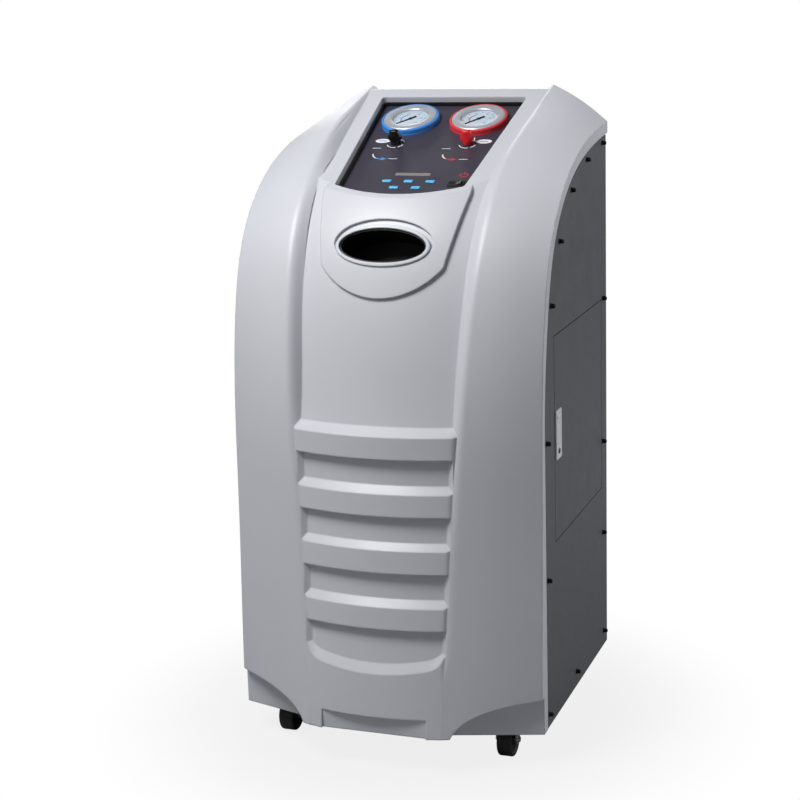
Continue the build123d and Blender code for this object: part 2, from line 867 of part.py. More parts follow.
with BuildPart() as chassis_frame:
    tubes(0, Mode.ADD)
    tubes(post_wall, Mode.SUBTRACT)

export(chassis_frame.part, "chassis_frame")

shelf_top = rail_z + post + tray_sheet
fan_z = shelf_top + fan_rise
with BuildPart() as equipment_shelf:
    with BuildSketch(Plane.XY.offset(rail_z + post)):
        with Locations((0, (post_front + 4 + rear_post_low) / 2)):
            Rectangle(2 * frame_half - 6, rear_post_low - post_front - 4)
    extrude(amount=tray_sheet)

export(equipment_shelf.part, "equipment_shelf")


# Rear panel with louvres and fan grille

louvre_rows = 8
louvre_pitch = 14.0
louvre_width = 70.0
louvre_z = 330.0
grille_pitch = 11.0
grille_slot = 6.0
rear_face = Plane(origin=(0, panel_rear + sheet, 0), x_dir=(-1, 0, 0), z_dir=(0, 1, 0))

with BuildPart() as rear_panel:
    with BuildSketch(rear_face):
        with BuildLine():
            edge = half_width - 2
            shoulder = half_width - 11
            crown = crest_start + crest_lean * 890 - 2
            Polyline((-edge, panel_bottom + 1), (edge, panel_bottom + 1), (edge, 836), (shoulder, 838),
                     (crown, 890), (-crown, 890), (-shoulder, 838), (-edge, 836), close=True)
        make_face()
        for column in (-1, 1):
            for row in range(louvre_rows):
                with Locations((column * 90, louvre_z + row * louvre_pitch)):
                    SlotOverall(louvre_width, 5, mode=Mode.SUBTRACT)
        for step in range(-6, 7):
            x = step * grille_pitch
            with Locations((x, fan_z)):
                SlotOverall(2 * sqrt(fan_radius ** 2 - x * x), grille_slot, rotation=90, mode=Mode.SUBTRACT)
        with Locations((-port_x, port_z), (port_x, port_z)):
            Circle(port_radius + 0.6, mode=Mode.SUBTRACT)
        with Locations((-inlet_x, inlet_z)):
            Rectangle(28, 22, mode=Mode.SUBTRACT)
    extrude(amount=-sheet)

export(rear_panel.part, "rear_panel")

port_reach = -front_cover.part.bounding_box().min.Y

with BuildPart() as service_ports:
    for x in (-port_x, port_x):
        with BuildSketch(Plane.XZ.offset(-port_reach)):
            with Locations((x, port_z)):
                Circle(port_radius)
        extrude(amount=port_reach - panel_rear + 16)
        with BuildSketch(Plane.XZ.offset(-panel_rear - sheet - 5)):
            with Locations((x, port_z)):
                RegularPolygon(11, 6)
        extrude(amount=5)
        with BuildSketch(Plane.XZ.offset(-panel_rear)):
            with Locations((x, port_z)):
                RegularPolygon(11, 6)
        extrude(amount=5)

export(service_ports.part, "service_ports")

with BuildPart() as power_inlet:
    with BuildSketch(Plane.XZ.offset(-panel_rear - sheet - 2.5)):
        with Locations((inlet_x, inlet_z)):
            Rectangle(50, 30)
    extrude(amount=2.5)
    with BuildSketch(Plane.XZ.offset(-panel_rear - sheet)):
        with Locations((inlet_x, inlet_z)):
            Rectangle(28, 22)
    extrude(amount=26)
    with BuildSketch(Plane.XZ.offset(-panel_rear - sheet - 2.5)):
        with Locations((inlet_x, inlet_z)):
            Rectangle(24, 16.5)
    extrude(amount=20, mode=Mode.SUBTRACT)
    with BuildSketch(Plane.XZ.offset(-panel_rear + 2)):
        with Locations((inlet_x, inlet_z + 2), (inlet_x - 7, inlet_z - 2), (inlet_x + 7, inlet_z - 2)):
            Rectangle(2, 4)
    extrude(amount=15)

export(power_inlet.part, "power_inlet")


# Screws along the edges of the side panels

screw_radius = 4.0
screw_height = 6.5
screw_places = [(-126, 66), (-126, 263), (-126, 458), (-98, 642), (-50, 722), (17, 783), (104, 815), (197, 829),
                (27, 70), (198, 71), (194, 233), (195, 378), (198, 598)]

with BuildPart() as panel_screws:
    with BuildSketch(cross_plane(half_width)):
        with Locations(*screw_places):
            Circle(screw_radius)
    extrude(amount=screw_height)
    chamfer(panel_screws.faces().group_by(Axis.X)[-1].edges(), 1)
    mirror(about=Plane.YZ)

export(panel_screws.part, "panel_screws")


# Castors

crown_low = wheel_diameter + 2.2
crown_sheet = 2.5
race_radius = 18.0
leg_inner = wheel_width / 2 + 1.5
leg_outer = leg_inner + fork_sheet
pedal_pivot_y = -24.0
pedal_pivot_z = 54.3
pedal_pin = 1.5
castor_places = {"front_left": (-front_castor_x, front_castor_y), "front_right": (front_castor_x, front_castor_y),
                 "rear_left": (-rear_castor_x, rear_castor_y), "rear_right": (rear_castor_x, rear_castor_y)}

with BuildPart() as castor_plates:
    for x, y in castor_places.values():
        with BuildSketch(Plane.XY.offset(tray_low - 2.5)):
            with Locations((x, y)):
                RectangleRounded(castor_plate, castor_plate - 4, 5)
        extrude(amount=2.5)
        with BuildSketch(Plane.XY.offset(crown_low + crown_sheet + 0.4)):
            with Locations((x, y)):
                Circle(race_radius)
        extrude(amount=tray_low - crown_low - crown_sheet - 0.5)
        with BuildSketch(Plane.XY.offset(crown_low - 0.3)):
            with Locations((x, y)):
                Circle(4)
        extrude(amount=tray_low - crown_low)

export(castor_plates.part, "castor_plates")

for place, (x, y) in castor_places.items():
    wheel_y = y - castor_trail
    braked = place.startswith("front")
    with BuildPart() as fork:
        with BuildSketch(Plane.XY.offset(crown_low)):
            with Locations((x, y)):
                Circle(race_radius)
            with Locations((x, y - 10)):
                Rectangle(2 * leg_outer, 20)
            with Locations((x, y)):
                Circle(4 + running_gap + 0.05, mode=Mode.SUBTRACT)
        extrude(amount=crown_sheet)
        for leg in (-leg_outer, leg_inner):
            with BuildSketch(cross_plane(x + leg)):
                with BuildLine():
                    Polyline((wheel_y - 7, wheel_radius), (wheel_y - 9, crown_low + crown_sheet),
                             (wheel_y + 22, crown_low + crown_sheet), (wheel_y + 7, wheel_radius))
                    Line((wheel_y - 7, wheel_radius), (wheel_y + 7, wheel_radius))
                make_face()
                with Locations((wheel_y, wheel_radius)):
                    Circle(7)
            extrude(amount=fork_sheet)
        with BuildSketch(cross_plane(x - leg_outer - 3)):
            with Locations((wheel_y, wheel_radius)):
                Circle(axle_radius)
        extrude(amount=2 * leg_outer + 6)
        if braked:
            with BuildSketch(cross_plane(x - leg_outer)):
                with Locations((y + pedal_pivot_y, pedal_pivot_z)):
                    Circle(pedal_pin)
            extrude(amount=2 * leg_outer)
    export(fork.part, "castor_fork_" + place)

    with BuildPart() as wheel:
        with BuildSketch(cross_plane(x - wheel_width / 2)):
            with Locations((wheel_y, wheel_radius)):
                Circle(wheel_radius)
                Circle(axle_radius + running_gap, mode=Mode.SUBTRACT)
        extrude(amount=wheel_width)
        rims = wheel.edges().filter_by(GeomType.CIRCLE).group_by(SortBy.RADIUS)[-1]
        fillet(rims, 5)
    export(wheel.part, "castor_wheel_" + place)

    if braked:
        with BuildPart() as pedal:
            with BuildSketch(cross_plane(x - leg_inner + 0.5)):
                with BuildLine():
                    Polyline((y + pedal_pivot_y, pedal_pivot_z - 2.6), (y + pedal_pivot_y, pedal_pivot_z + 2.6),
                             (y - 43, pedal_pivot_z - 0.5), (y - 44.5, pedal_pivot_z - 3.5),
                             (y - 40, pedal_pivot_z - 3.5), close=True)
                make_face()
                with Locations((y + pedal_pivot_y, pedal_pivot_z)):
                    Circle(2.6)
                    Circle(pedal_pin + running_gap, mode=Mode.SUBTRACT)
            extrude(amount=2 * leg_inner - 1)
        export(pedal.part, "brake_pedal_" + place)


# Refrigerant tank on its scale

scale_low = tray_top
scale_top = scale_low + 28
with BuildPart() as weighing_scale:
    with BuildSketch(Plane.XY.offset(scale_low)):
        with Locations((tank_x, tank_y)):
            Rectangle(130, 30)
    extrude(amount=22)
    with BuildSketch(Plane.XY.offset(scale_low + 22)):
        with Locations((tank_x, tank_y)):
            RectangleRounded(210, 210, 12)
    extrude(amount=6)

export(weighing_scale.part, "weighing_scale")

tank_foot = scale_top
tank_top = tank_foot + tank_length
valve_low = tank_top - 3
tank_wall = 4.0
with BuildPart() as storage_tank:
    tank_section = Plane(origin=(tank_x, tank_y, 0), x_dir=(1, 0, 0), z_dir=(0, -1, 0))
    with BuildSketch(tank_section):
        with BuildLine():
            foot = Polyline((0, tank_foot + 30), (78, tank_foot + 30), (78, tank_foot), (80, tank_foot),
                            (80, tank_foot + 24))
            shoulder = Polyline(foot @ 1, (tank_radius, tank_foot + 50), (tank_radius, tank_top - 60))
            dome = Spline(shoulder @ 1, (0, tank_top), tangents=[(0, 1), (-1, 0)])
            Line(dome @ 1, foot @ 0)
        make_face()
        with BuildLine():
            inner = tank_radius - tank_wall
            bottom = Polyline((0, tank_foot + 34), (78, tank_foot + 34), (inner, tank_foot + 52),
                              (inner, tank_top - 60))
            roof = Spline(bottom @ 1, (0, tank_top - tank_wall), tangents=[(0, 1), (-1, 0)])
            Line(roof @ 1, bottom @ 0)
        make_face(mode=Mode.SUBTRACT)
    revolve(axis=Axis((tank_x, tank_y, 0), (0, 0, 1)))
    with BuildSketch(Plane.XY.offset(valve_low)):
        with Locations((tank_x, tank_y)):
            Circle(14)
    extrude(amount=14)
    with BuildSketch(Plane.XY.offset(valve_low + 10)):
        with Locations((tank_x, tank_y)):
            Rectangle(44, 26)
    extrude(amount=26)
    with BuildSketch(cross_plane(tank_x - 30)):
        with Locations((tank_y, valve_low + 24)):
            Circle(3)
    extrude(amount=60)

export(storage_tank.part, "storage_tank")

for valve, side in (("liquid", -1), ("gas", 1)):
    with BuildPart() as handwheel:
        with BuildSketch(cross_plane(tank_x + side * 28 - 5)):
            with Locations((tank_y, valve_low + 24)):
                Circle(14)
                with PolarLocations(16, 6):
                    Circle(4, mode=Mode.SUBTRACT)
                Circle(3 + running_gap, mode=Mode.SUBTRACT)
        extrude(amount=10)
    export(handwheel.part, "tank_" + valve + "_handwheel")


# Compressor, vacuum pump, condenser and fan

compressor_radius = 68.0
compressor_x = half_width - compressor_radius - 29
compressor_y = 122.0
with BuildPart() as compressor:
    section = Plane(origin=(compressor_x, compressor_y, 0), x_dir=(1, 0, 0), z_dir=(0, -1, 0))
    with BuildSketch(section):
        with BuildLine():
            base = Polyline((0, tray_top + 14), (40, tray_top + 14), (compressor_radius, tray_top + 30),
                            (compressor_radius, tray_top + 120))
            dome = Spline(base @ 1, (0, tray_top + 165), tangents=[(0, 1), (-1, 0)])
            Line(dome @ 1, base @ 0)
        make_face()
    revolve(axis=Axis((compressor_x, compressor_y, 0), (0, 0, 1)))
    with BuildSketch(Plane.XY.offset(tray_top + 8)):
        with Locations((compressor_x, compressor_y)):
            RectangleRounded(130, 130, 20)
    extrude(amount=8)
    with BuildSketch(Plane.XY.offset(tray_top)):
        with Locations((compressor_x, compressor_y)):
            with GridLocations(100, 100, 2, 2):
                Circle(9)
    extrude(amount=9)

export(compressor.part, "compressor")

pump_x = half_width - 105
with BuildPart() as vacuum_pump:
    with BuildSketch(Plane.XY.offset(tray_top)):
        with Locations((pump_x, -25)):
            Rectangle(90, 130)
    extrude(amount=6)
    with BuildSketch(Plane.XZ.offset(85)):
        with Locations((pump_x, tray_top + 56)):
            Circle(42)
    extrude(amount=-75)
    with BuildSketch(Plane.XZ.offset(75)):
        with Locations((pump_x, tray_top + 24)):
            Rectangle(60, 40)
    extrude(amount=-60)
    with BuildSketch(Plane.XY.offset(tray_top + 5)):
        with Locations((pump_x, 10)):
            Rectangle(76, 50)
    extrude(amount=100)
    with BuildSketch(Plane.XY.offset(tray_top + 100)):
        with Locations((pump_x, 10)):
            Circle(12)
    extrude(amount=22)

export(vacuum_pump.part, "vacuum_pump")

fin_count = 16
fin_pitch = 12.0
coil_low = shelf_top
coil_height = 150.0
coil_y = 145.0
with BuildPart() as condenser:
    with BuildSketch(Plane.XY.offset(coil_low)):
        with Locations((0, coil_y)):
            with GridLocations(fin_pitch, 1, fin_count, 1):
                Rectangle(1, 44)
    extrude(amount=coil_height)
    tubes = Plane.YZ.offset(-110)
    with BuildSketch(tubes):
        for column in (-11, 11):
            for row in range(5):
                with Locations((coil_y + column, coil_low + 15 + row * 30)):
                    Circle(4.5)
    extrude(amount=220)
    for end in (-114, 110):
        with BuildSketch(Plane.YZ.offset(end)):
            with Locations((coil_y, coil_low + coil_height / 2)):
                Rectangle(44, coil_height)
        extrude(amount=4)

export(condenser.part, "condenser")

shroud_low = shelf_top
shroud_half = fan_z - shroud_low
shroud_front = 182.0
shroud_rear = panel_rear - 4
motor_radius = 20.0
with BuildPart() as fan_shroud:
    with BuildSketch(Plane.XZ.offset(-shroud_rear)):
        with Locations((0, fan_z)):
            Rectangle(2 * shroud_half, 2 * shroud_half)
            Circle(fan_radius + 2.5, mode=Mode.SUBTRACT)
    extrude(amount=shroud_rear - shroud_front)
    with BuildSketch(Plane.XZ.offset(-shroud_front - 4)):
        with Locations((0, fan_z)):
            Rectangle(2 * fan_radius + 8, 8)
            Rectangle(8, 2 * fan_radius + 8)
            Circle(motor_radius)
    extrude(amount=4)
    with BuildSketch(Plane.XZ.offset(-shroud_rear)):
        with Locations((0, fan_z)):
            Circle(2.5)
    extrude(amount=shroud_rear - shroud_front)

export(fan_shroud.part, "fan_shroud")

rotor_low = shroud_front + 7
rotor_deep = 20.0
with BuildPart() as fan_rotor:
    with BuildSketch(Plane.XZ.offset(-rotor_low - rotor_deep)):
        with Locations((0, fan_z)):
            Circle(motor_radius)
    extrude(amount=rotor_deep)
    rotor_frame = Plane(origin=(0, rotor_low + rotor_deep / 2, fan_z), x_dir=(1, 0, 0), z_dir=(0, -1, 0))
    blade_length = fan_radius - motor_radius
    with Locations(rotor_frame):
        with PolarLocations(motor_radius + blade_length / 2 - 2, 7):
            Box(blade_length + 2, 26, 2, rotation=(32, 0, 0))
    with BuildSketch(Plane.XZ.offset(-rotor_low - rotor_deep)):
        with Locations((0, fan_z)):
            Circle(2.5 + running_gap)
    extrude(amount=rotor_deep, mode=Mode.SUBTRACT)

export(fan_rotor.part, "fan_rotor")

with BuildPart() as filter_drier:
    drier_plane = Plane.YZ.offset(-150)
    with BuildSketch(drier_plane):
        with Locations((-10, shelf_top + 36)):
            Circle(28)
    extrude(amount=130)
    with BuildSketch(drier_plane.offset(-14)):
        with Locations((-10, shelf_top + 36)):
            Circle(6)
    extrude(amount=158)
    for offset_x in (25, 95):
        with BuildSketch(drier_plane.offset(offset_x)):
            with Locations((-10, shelf_top + 10)):
                Rectangle(50, 20)
        extrude(amount=8)

export(filter_drier.part, "filter_drier")
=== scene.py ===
"""Looks of a refrigerant recharge machine, built around its solids."""

import math

import bmesh
import bpy
import numpy as np
from mathutils import Matrix, Vector


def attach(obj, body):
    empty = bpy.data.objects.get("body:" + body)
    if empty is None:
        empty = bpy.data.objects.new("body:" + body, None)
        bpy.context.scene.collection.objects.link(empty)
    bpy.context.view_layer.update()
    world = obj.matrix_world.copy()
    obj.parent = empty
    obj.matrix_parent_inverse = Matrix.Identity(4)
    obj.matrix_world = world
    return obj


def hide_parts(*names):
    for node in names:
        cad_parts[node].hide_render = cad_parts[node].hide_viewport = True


bl_info = {
    "name": "Refrigerant recharge machine",
    "version": (1, 0, 0),
    "blender": (4, 5, 0),
    "location": "3D View > Sidebar > Machine",
    "description": "Cover, instruments, sheet metal, castors and stage of a recharge machine",
    "category": "Object",
}

MM = 0.001
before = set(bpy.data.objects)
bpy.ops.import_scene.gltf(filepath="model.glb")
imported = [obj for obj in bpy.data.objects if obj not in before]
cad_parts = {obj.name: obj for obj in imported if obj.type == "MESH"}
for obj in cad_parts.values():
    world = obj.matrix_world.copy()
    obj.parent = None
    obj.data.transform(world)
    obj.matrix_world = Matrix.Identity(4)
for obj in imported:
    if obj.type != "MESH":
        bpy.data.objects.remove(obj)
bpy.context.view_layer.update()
ROOT = "cabinet"

# Cabinet sizes in millimetres, the same as the solids
HALF_WIDTH = 225.0
COVER_REAR = 232.0
COVER_BOTTOM = 46.0
APRON_BOTTOM = 54.0
COVER_WALL = 5.0
RECESS_DEPTH = 14.0
RECESS_Y = -55.7
RECESS_Z = 797.7
SLOPE = math.radians(21.46)
WINDOW_LENGTH = 270.0
BOW_RADIUS = 360.0
CREST_LEAN = 0.0548
RIB_TOP = 476.0
RIB_PITCH = 79.5
RIB_FACE = 31.0
RIB_LEDGE = 11.0
POCKET_DEPTH = 10.0
SHELF_TOP = 634.0
FAN_Z = 712.0

# Half spacing of the pillars' crests and of their inner walls' feet, carried down to the floor
CREST_X = 93.0
CREST_FOOT_X = 80.0

# Width of cover over which a rounding in millimetres is spread as a share
ROUNDED_SPAN = 110.0

# Recesses between the ribs: how many, half the width of the highest, how much narrower each next
# one is, and the lowest one with its dished foot
RECESS_COUNT = 3
RECESS_HALF = 114.0
RECESS_TAPER = 3.3
LOWEST_RECESS = {"low_z": 141.0, "half": 105.0, "ledge": 15.0, "lift": 14.0, "turn": 16.0}

# Notch in the apron as two x, two y and two z, and the faces of cutting tools that end in the air
APRON_NOTCH = (-77, 77, -287, -227, -20, 81)
BESIDE = 300.0
BELOW = -20.0
ABOVE = 960.0

# Grip: half its width and height, its middle, and how far it leans back
GRIP_HALF_WIDTH = 63.0
GRIP_HALF_HEIGHT = 25.0
GRIP = Vector((0, -136.5, 724.6))
GRIP_TILT = math.radians(25)

# Side outlines as (y, z) points, from the foot of the machine to its rear top corner
SEAM = [(-133, 470), (-114, 615), (-77, 715), (-6, 782), (84, 818), (221, 838.5)]
SIDE = [(-163, 46), (-158, 200), (-151, 350), (-147.5, 470), (-130.5, 620),
        (-91, 725), (-14.5, 796), (79.5, 834.5), (232, 857)]
CREST = [(-228, 46), (-210, 200), (-199, 350), (-191.5, 480), (-164, 630),
         (-118, 737), (-48, 809), (72, 868), (232, 913)]
FOOT = [(-222, 46), (-205, 200), (-193, 350), (-174, 495), (-148, 630),
        (-101, 742), (-50, 797), (72, 842), (232, 905)]
RIBS = [(-240, 46), (-222.6, 235), (-213.4, 398), (-211.4, 476)]
MIDDLE = [(-197, 487), (-178, 580), (-162, 647), (-129, 725), (-80, 788), (-21, 838)]
SHIELD = [(-197, 487), (-178, 580), (-162, 647), (-132, 725), (-86, 786), (-30, 836)]

# Castors, and the (x, y) of each one's axle
CASTORS = {"front_left": (-166, -131.5), "front_right": (166, -131.5), "rear_left": (-152, 162),
           "rear_right": (152, 162)}
AXLE_Z = 25.0

# Screws of a side panel as (y, z)
SCREW_PLACES = [(-126, 66), (-126, 263), (-126, 458), (-98, 642), (-50, 722), (17, 783), (104, 815),
                (197, 829), (27, 70), (198, 71), (194, 233), (195, 378), (198, 598)]


# Mesh helpers

def link(mesh, name):
    """A new object for the mesh, in the scene."""
    obj = bpy.data.objects.new(name, mesh)
    bpy.context.scene.collection.objects.link(obj)
    return obj


def mesh_from(name, points, faces):
    """A mesh object from millimetre points, with its faces turned outwards."""
    mesh = bpy.data.meshes.new(name)
    mesh.from_pydata([tuple(c * MM for c in p) for p in points], [], faces)
    tidy(mesh)
    return link(mesh, name)


def tidy(mesh, merge=1e-7):
    """Merges points nearer than merge metres and turns the faces outwards."""
    shape = bmesh.new()
    shape.from_mesh(mesh)
    bmesh.ops.remove_doubles(shape, verts=shape.verts, dist=merge)
    bmesh.ops.recalc_face_normals(shape, faces=shape.faces)
    shape.to_mesh(mesh)
    shape.free()


def finish(obj, material, body=ROOT, replaces=(), angle=35.0, weighted=False):
    """Smooth shading with hard edges, a material, and the CAD body that the piece rides on.

    With weighted, large faces keep their direction and small ones between them take up the bend."""
    obj.data.materials.clear()
    obj.data.materials.append(material)
    obj.data.shade_smooth()
    obj.data.set_sharp_from_angle(angle=math.radians(angle))
    if weighted:
        modifier = obj.modifiers.new("normals", "WEIGHTED_NORMAL")
        modifier.keep_sharp = True
        baked(obj)
    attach(obj, body)
    if replaces:
        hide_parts(*replaces)
    return obj


def baked(obj):
    """The evaluated shape as a plain mesh, with the modifiers removed."""
    graph = bpy.context.evaluated_depsgraph_get()
    mesh = bpy.data.meshes.new_from_object(obj.evaluated_get(graph))
    obj.modifiers.clear()
    old = obj.data
    obj.data = mesh
    bpy.data.meshes.remove(old)
    return obj


def carve(base, tool, operation):
    """Joins, cuts or intersects the base with the tool, which is used up."""
    modifier = base.modifiers.new("carve", "BOOLEAN")
    modifier.object = tool
    modifier.operation = operation
    modifier.solver = "MANIFOLD"
    baked(base)
    bpy.data.objects.remove(tool)
    return base


def skin(name, loops):
    """A closed solid through loops of equal length."""
    count = len(loops[0])
    points = [p for loop in loops for p in loop]
    faces = []
    for i in range(len(loops) - 1):
        a, b = i * count, (i + 1) * count
        for j in range(count):
            k = (j + 1) % count
            faces.append((a + j, a + k, b + k, b + j))
    faces.append(tuple(range(count)))
    faces.append(tuple(range(len(points) - count, len(points))))
    return mesh_from(name, points, faces)


def prism(name, outline, place, low, high):
    """An outline of (u, v) points run along w; place turns (u, v, w) into a point."""
    return skin(name, [[place(u, v, w) for u, v in outline] for w in (low, high)])


def lathe(name, outline, origin, axis, across, steps=96):
    """Turns a closed (radius, height) outline about an axis."""
    axis = Vector(axis).normalized()
    across = Vector(across).normalized()
    other = axis.cross(across)
    origin = Vector(origin)
    points, faces = [], []
    count = len(outline)
    for i in range(steps):
        turn = 2 * math.pi * i / steps
        out = across * math.cos(turn) + other * math.sin(turn)
        points += [tuple(origin + out * r + axis * h) for r, h in outline]
    for i in range(steps):
        a, b = i * count, (i + 1) % steps * count
        for j in range(count):
            k = (j + 1) % count
            faces.append((a + j, a + k, b + k, b + j))
    obj = mesh_from(name, points, faces)
    shape = bmesh.new()
    shape.from_mesh(obj.data)
    # Points on the axis leave faces without area
    bmesh.ops.dissolve_degenerate(shape, dist=1e-7, edges=shape.edges)
    bmesh.ops.recalc_face_normals(shape, faces=shape.faces)
    shape.to_mesh(obj.data)
    shape.free()
    return obj


def curve_through(points, count, tangents=None):
    """A smooth cubic curve through the points, sampled evenly; tangents are its end directions."""
    pts = np.array(points, float)
    gaps = np.linalg.norm(np.diff(pts, axis=0), axis=1)
    t = np.concatenate([[0], np.cumsum(gaps)])
    n = len(pts)
    left = np.zeros((n, n))
    right = np.zeros((n, pts.shape[1]))
    for i in range(1, n - 1):
        left[i, i - 1:i + 2] = gaps[i - 1], 2 * (gaps[i - 1] + gaps[i]), gaps[i]
        right[i] = 6 * ((pts[i + 1] - pts[i]) / gaps[i] - (pts[i] - pts[i - 1]) / gaps[i - 1])
    if tangents is None:
        left[0, :3] = -gaps[1], gaps[0] + gaps[1], -gaps[0]
        left[-1, -3:] = -gaps[-1], gaps[-2] + gaps[-1], -gaps[-2]
    else:
        ends = [np.array(v, float) / np.linalg.norm(v) for v in tangents]
        left[0, :2] = 2 * gaps[0], gaps[0]
        right[0] = 6 * ((pts[1] - pts[0]) / gaps[0] - ends[0])
        left[-1, -2:] = gaps[-1], 2 * gaps[-1]
        right[-1] = 6 * (ends[1] - (pts[-1] - pts[-2]) / gaps[-1])
    bend = np.linalg.solve(left, right)
    result = []
    for s in np.linspace(0, t[-1], count):
        i = min(int(np.searchsorted(t, s, "right")) - 1, n - 2)
        h, a, b = gaps[i], t[i + 1] - s, s - t[i]
        curved = bend[i] * a ** 3 / (6 * h) + bend[i + 1] * b ** 3 / (6 * h)
        near_end, far_end = pts[i] / h - bend[i] * h / 6, pts[i + 1] / h - bend[i + 1] * h / 6
        result.append(tuple(curved + near_end * a + far_end * b))
    return result


def arc_through(start, middle, end, count):
    """Points of the circle arc through three points."""
    (ax, ay), (bx, by), (cx, cy) = start, middle, end
    a2, b2, c2 = ax**2 + ay**2, bx**2 + by**2, cx**2 + cy**2
    d = 2 * (ax * (by - cy) + bx * (cy - ay) + cx * (ay - by))
    ux = (a2 * (by - cy) + b2 * (cy - ay) + c2 * (ay - by)) / d
    uy = (a2 * (cx - bx) + b2 * (ax - cx) + c2 * (bx - ax)) / d
    r = math.hypot(ax - ux, ay - uy)
    first, half, last = (math.atan2(y - uy, x - ux) for x, y in (start, middle, end))
    half = first + (half - first + math.pi) % (2 * math.pi) - math.pi
    last = half + (last - half + math.pi) % (2 * math.pi) - math.pi
    return [(ux + r * math.cos(a), uy + r * math.sin(a)) for a in np.linspace(first, last, count)]


def rounded(outline, radius, steps=5):
    """The outline with its sharp corners rounded; nearly straight ones stay."""
    result = []
    n = len(outline)
    for i in range(n):
        p = Vector(outline[i])
        before = Vector(outline[i - 1]) - p
        after = Vector(outline[(i + 1) % n]) - p
        if before.angle(after) > math.radians(165):
            result.append(tuple(p))
            continue
        cut = min(radius, before.length * 0.49, after.length * 0.49)
        a = p + before.normalized() * cut
        b = p + after.normalized() * cut
        for t in np.linspace(0, 1, steps):
            result.append(tuple(a * (1 - t) ** 2 + p * 2 * t * (1 - t) + b * t ** 2))
    return result


def panel_point(x, s, h):
    """A point on the instrument panel: x across, s up its slope, h above its face."""
    k = h - RECESS_DEPTH
    return Vector((x, RECESS_Y + s * math.cos(SLOPE) - k * math.sin(SLOPE),
                   RECESS_Z + s * math.sin(SLOPE) + k * math.cos(SLOPE)))


# Out of the instrument panel's face, and up its slope
PANEL_UP = Vector((0, -math.sin(SLOPE), math.cos(SLOPE)))
PANEL_ALONG = Vector((0, math.cos(SLOPE), math.sin(SLOPE)))


# Materials

def linear(code, alpha=1.0):
    """The linear colour of an sRGB hex value."""
    parts = [int(code[i:i + 2], 16) / 255 for i in (1, 3, 5)]
    return [c / 12.92 if c <= 0.04045 else ((c + 0.055) / 1.055) ** 2.4 for c in parts] + [alpha]


def add_node(tree, kind, settings=None, **links):
    """Adds a node; settings are its properties, links its inputs, values or (node, output)."""
    node = tree.nodes.new(kind)
    for key, value in (settings or {}).items():
        setattr(node, key, value)
    for key, value in links.items():
        name = key.replace("_", " ")
        numbered = key[0] == "i" and key[1:].isdigit()
        socket = node.inputs[int(key[1:]) if numbered else name]
        if isinstance(value, tuple) and len(value) == 2 and isinstance(value[0], bpy.types.Node):
            tree.links.new(value[0].outputs[value[1]], socket)
        else:
            socket.default_value = value
    return node


def new_material(name):
    """An empty material; returns it with its tree and output."""
    material = bpy.data.materials.new(name)
    material.use_nodes = True
    tree = material.node_tree
    tree.nodes.clear()
    output = tree.nodes.new("ShaderNodeOutputMaterial")
    return material, tree, output


def surface(name, code, roughness, metallic=0.0, grain=0.5, bump=0.1, bump_height=0.05, edge=0.6,
            mottle=0.04, mottle_size=60.0, rough_vary=0.06, stretch=None, **shader):
    """A solid finish: slight change of colour and gloss, fine grain, worn-round edges.

    grain and mottle_size are in millimetres, edge is the radius that hard edges look rounded to."""
    material, tree, output = new_material(name)
    place = add_node(tree, "ShaderNodeTexCoord")
    source = (place, "Object")
    if stretch:
        stretched = add_node(tree, "ShaderNodeMapping", Vector=source, Scale=stretch)
        source = (stretched, "Vector")
    fine = add_node(tree, "ShaderNodeTexNoise", {"noise_dimensions": "3D"}, Vector=source,
                    Scale=1000.0 / (2 * grain), Detail=3.0, Roughness=0.6)
    broad = add_node(tree, "ShaderNodeTexNoise", {"noise_dimensions": "3D"},
                     Vector=(place, "Object"), Scale=1000.0 / mottle_size, Detail=4.0,
                     Roughness=0.55)
    base = linear(code)
    dark = [c * (1 - mottle) for c in base[:3]] + [1]
    light = [min(1.0, c * (1 + mottle)) for c in base[:3]] + [1]
    colour = add_node(tree, "ShaderNodeMix", {"data_type": "RGBA"}, i0=(broad, "Fac"), i6=dark,
                      i7=light)
    gloss = add_node(tree, "ShaderNodeMapRange", i0=(broad, "Fac"), i1=0.3, i2=0.7,
                     i3=max(0.02, roughness - rough_vary), i4=min(1.0, roughness + rough_vary))
    rim = add_node(tree, "ShaderNodeBevel", {"samples": 4}, Radius=edge * MM)
    relief = add_node(tree, "ShaderNodeBump", Strength=bump, Distance=bump_height * MM,
                      Height=(fine, "Fac"), Normal=(rim, "Normal"))
    shade = add_node(tree, "ShaderNodeBsdfPrincipled", Base_Color=(colour, 2), Roughness=(gloss, 0),
                     Metallic=metallic, Normal=(relief, "Normal"), **shader)
    tree.links.new(shade.outputs[0], output.inputs[0])
    return material


def clear_material(name, code, roughness=0.02, ior=1.49):
    """A clear sheet that lets light straight through, with gloss on its face."""
    material, tree, output = new_material(name)
    rim = add_node(tree, "ShaderNodeFresnel", IOR=ior)
    inside = add_node(tree, "ShaderNodeNewGeometry")
    outside = add_node(tree, "ShaderNodeMath", {"operation": "SUBTRACT"}, i0=1.0,
                       i1=(inside, "Backfacing"))
    edge = add_node(tree, "ShaderNodeMath", {"operation": "MULTIPLY"}, i0=(rim, 0), i1=(outside, 0))
    clear = add_node(tree, "ShaderNodeBsdfTransparent", Color=linear(code))
    gloss = add_node(tree, "ShaderNodeBsdfGlossy", Color=linear("#FFFFFF"), Roughness=roughness)
    mix = add_node(tree, "ShaderNodeMixShader", i0=(edge, 0), i1=(clear, 0), i2=(gloss, 0))
    tree.links.new(mix.outputs[0], output.inputs[0])
    return material


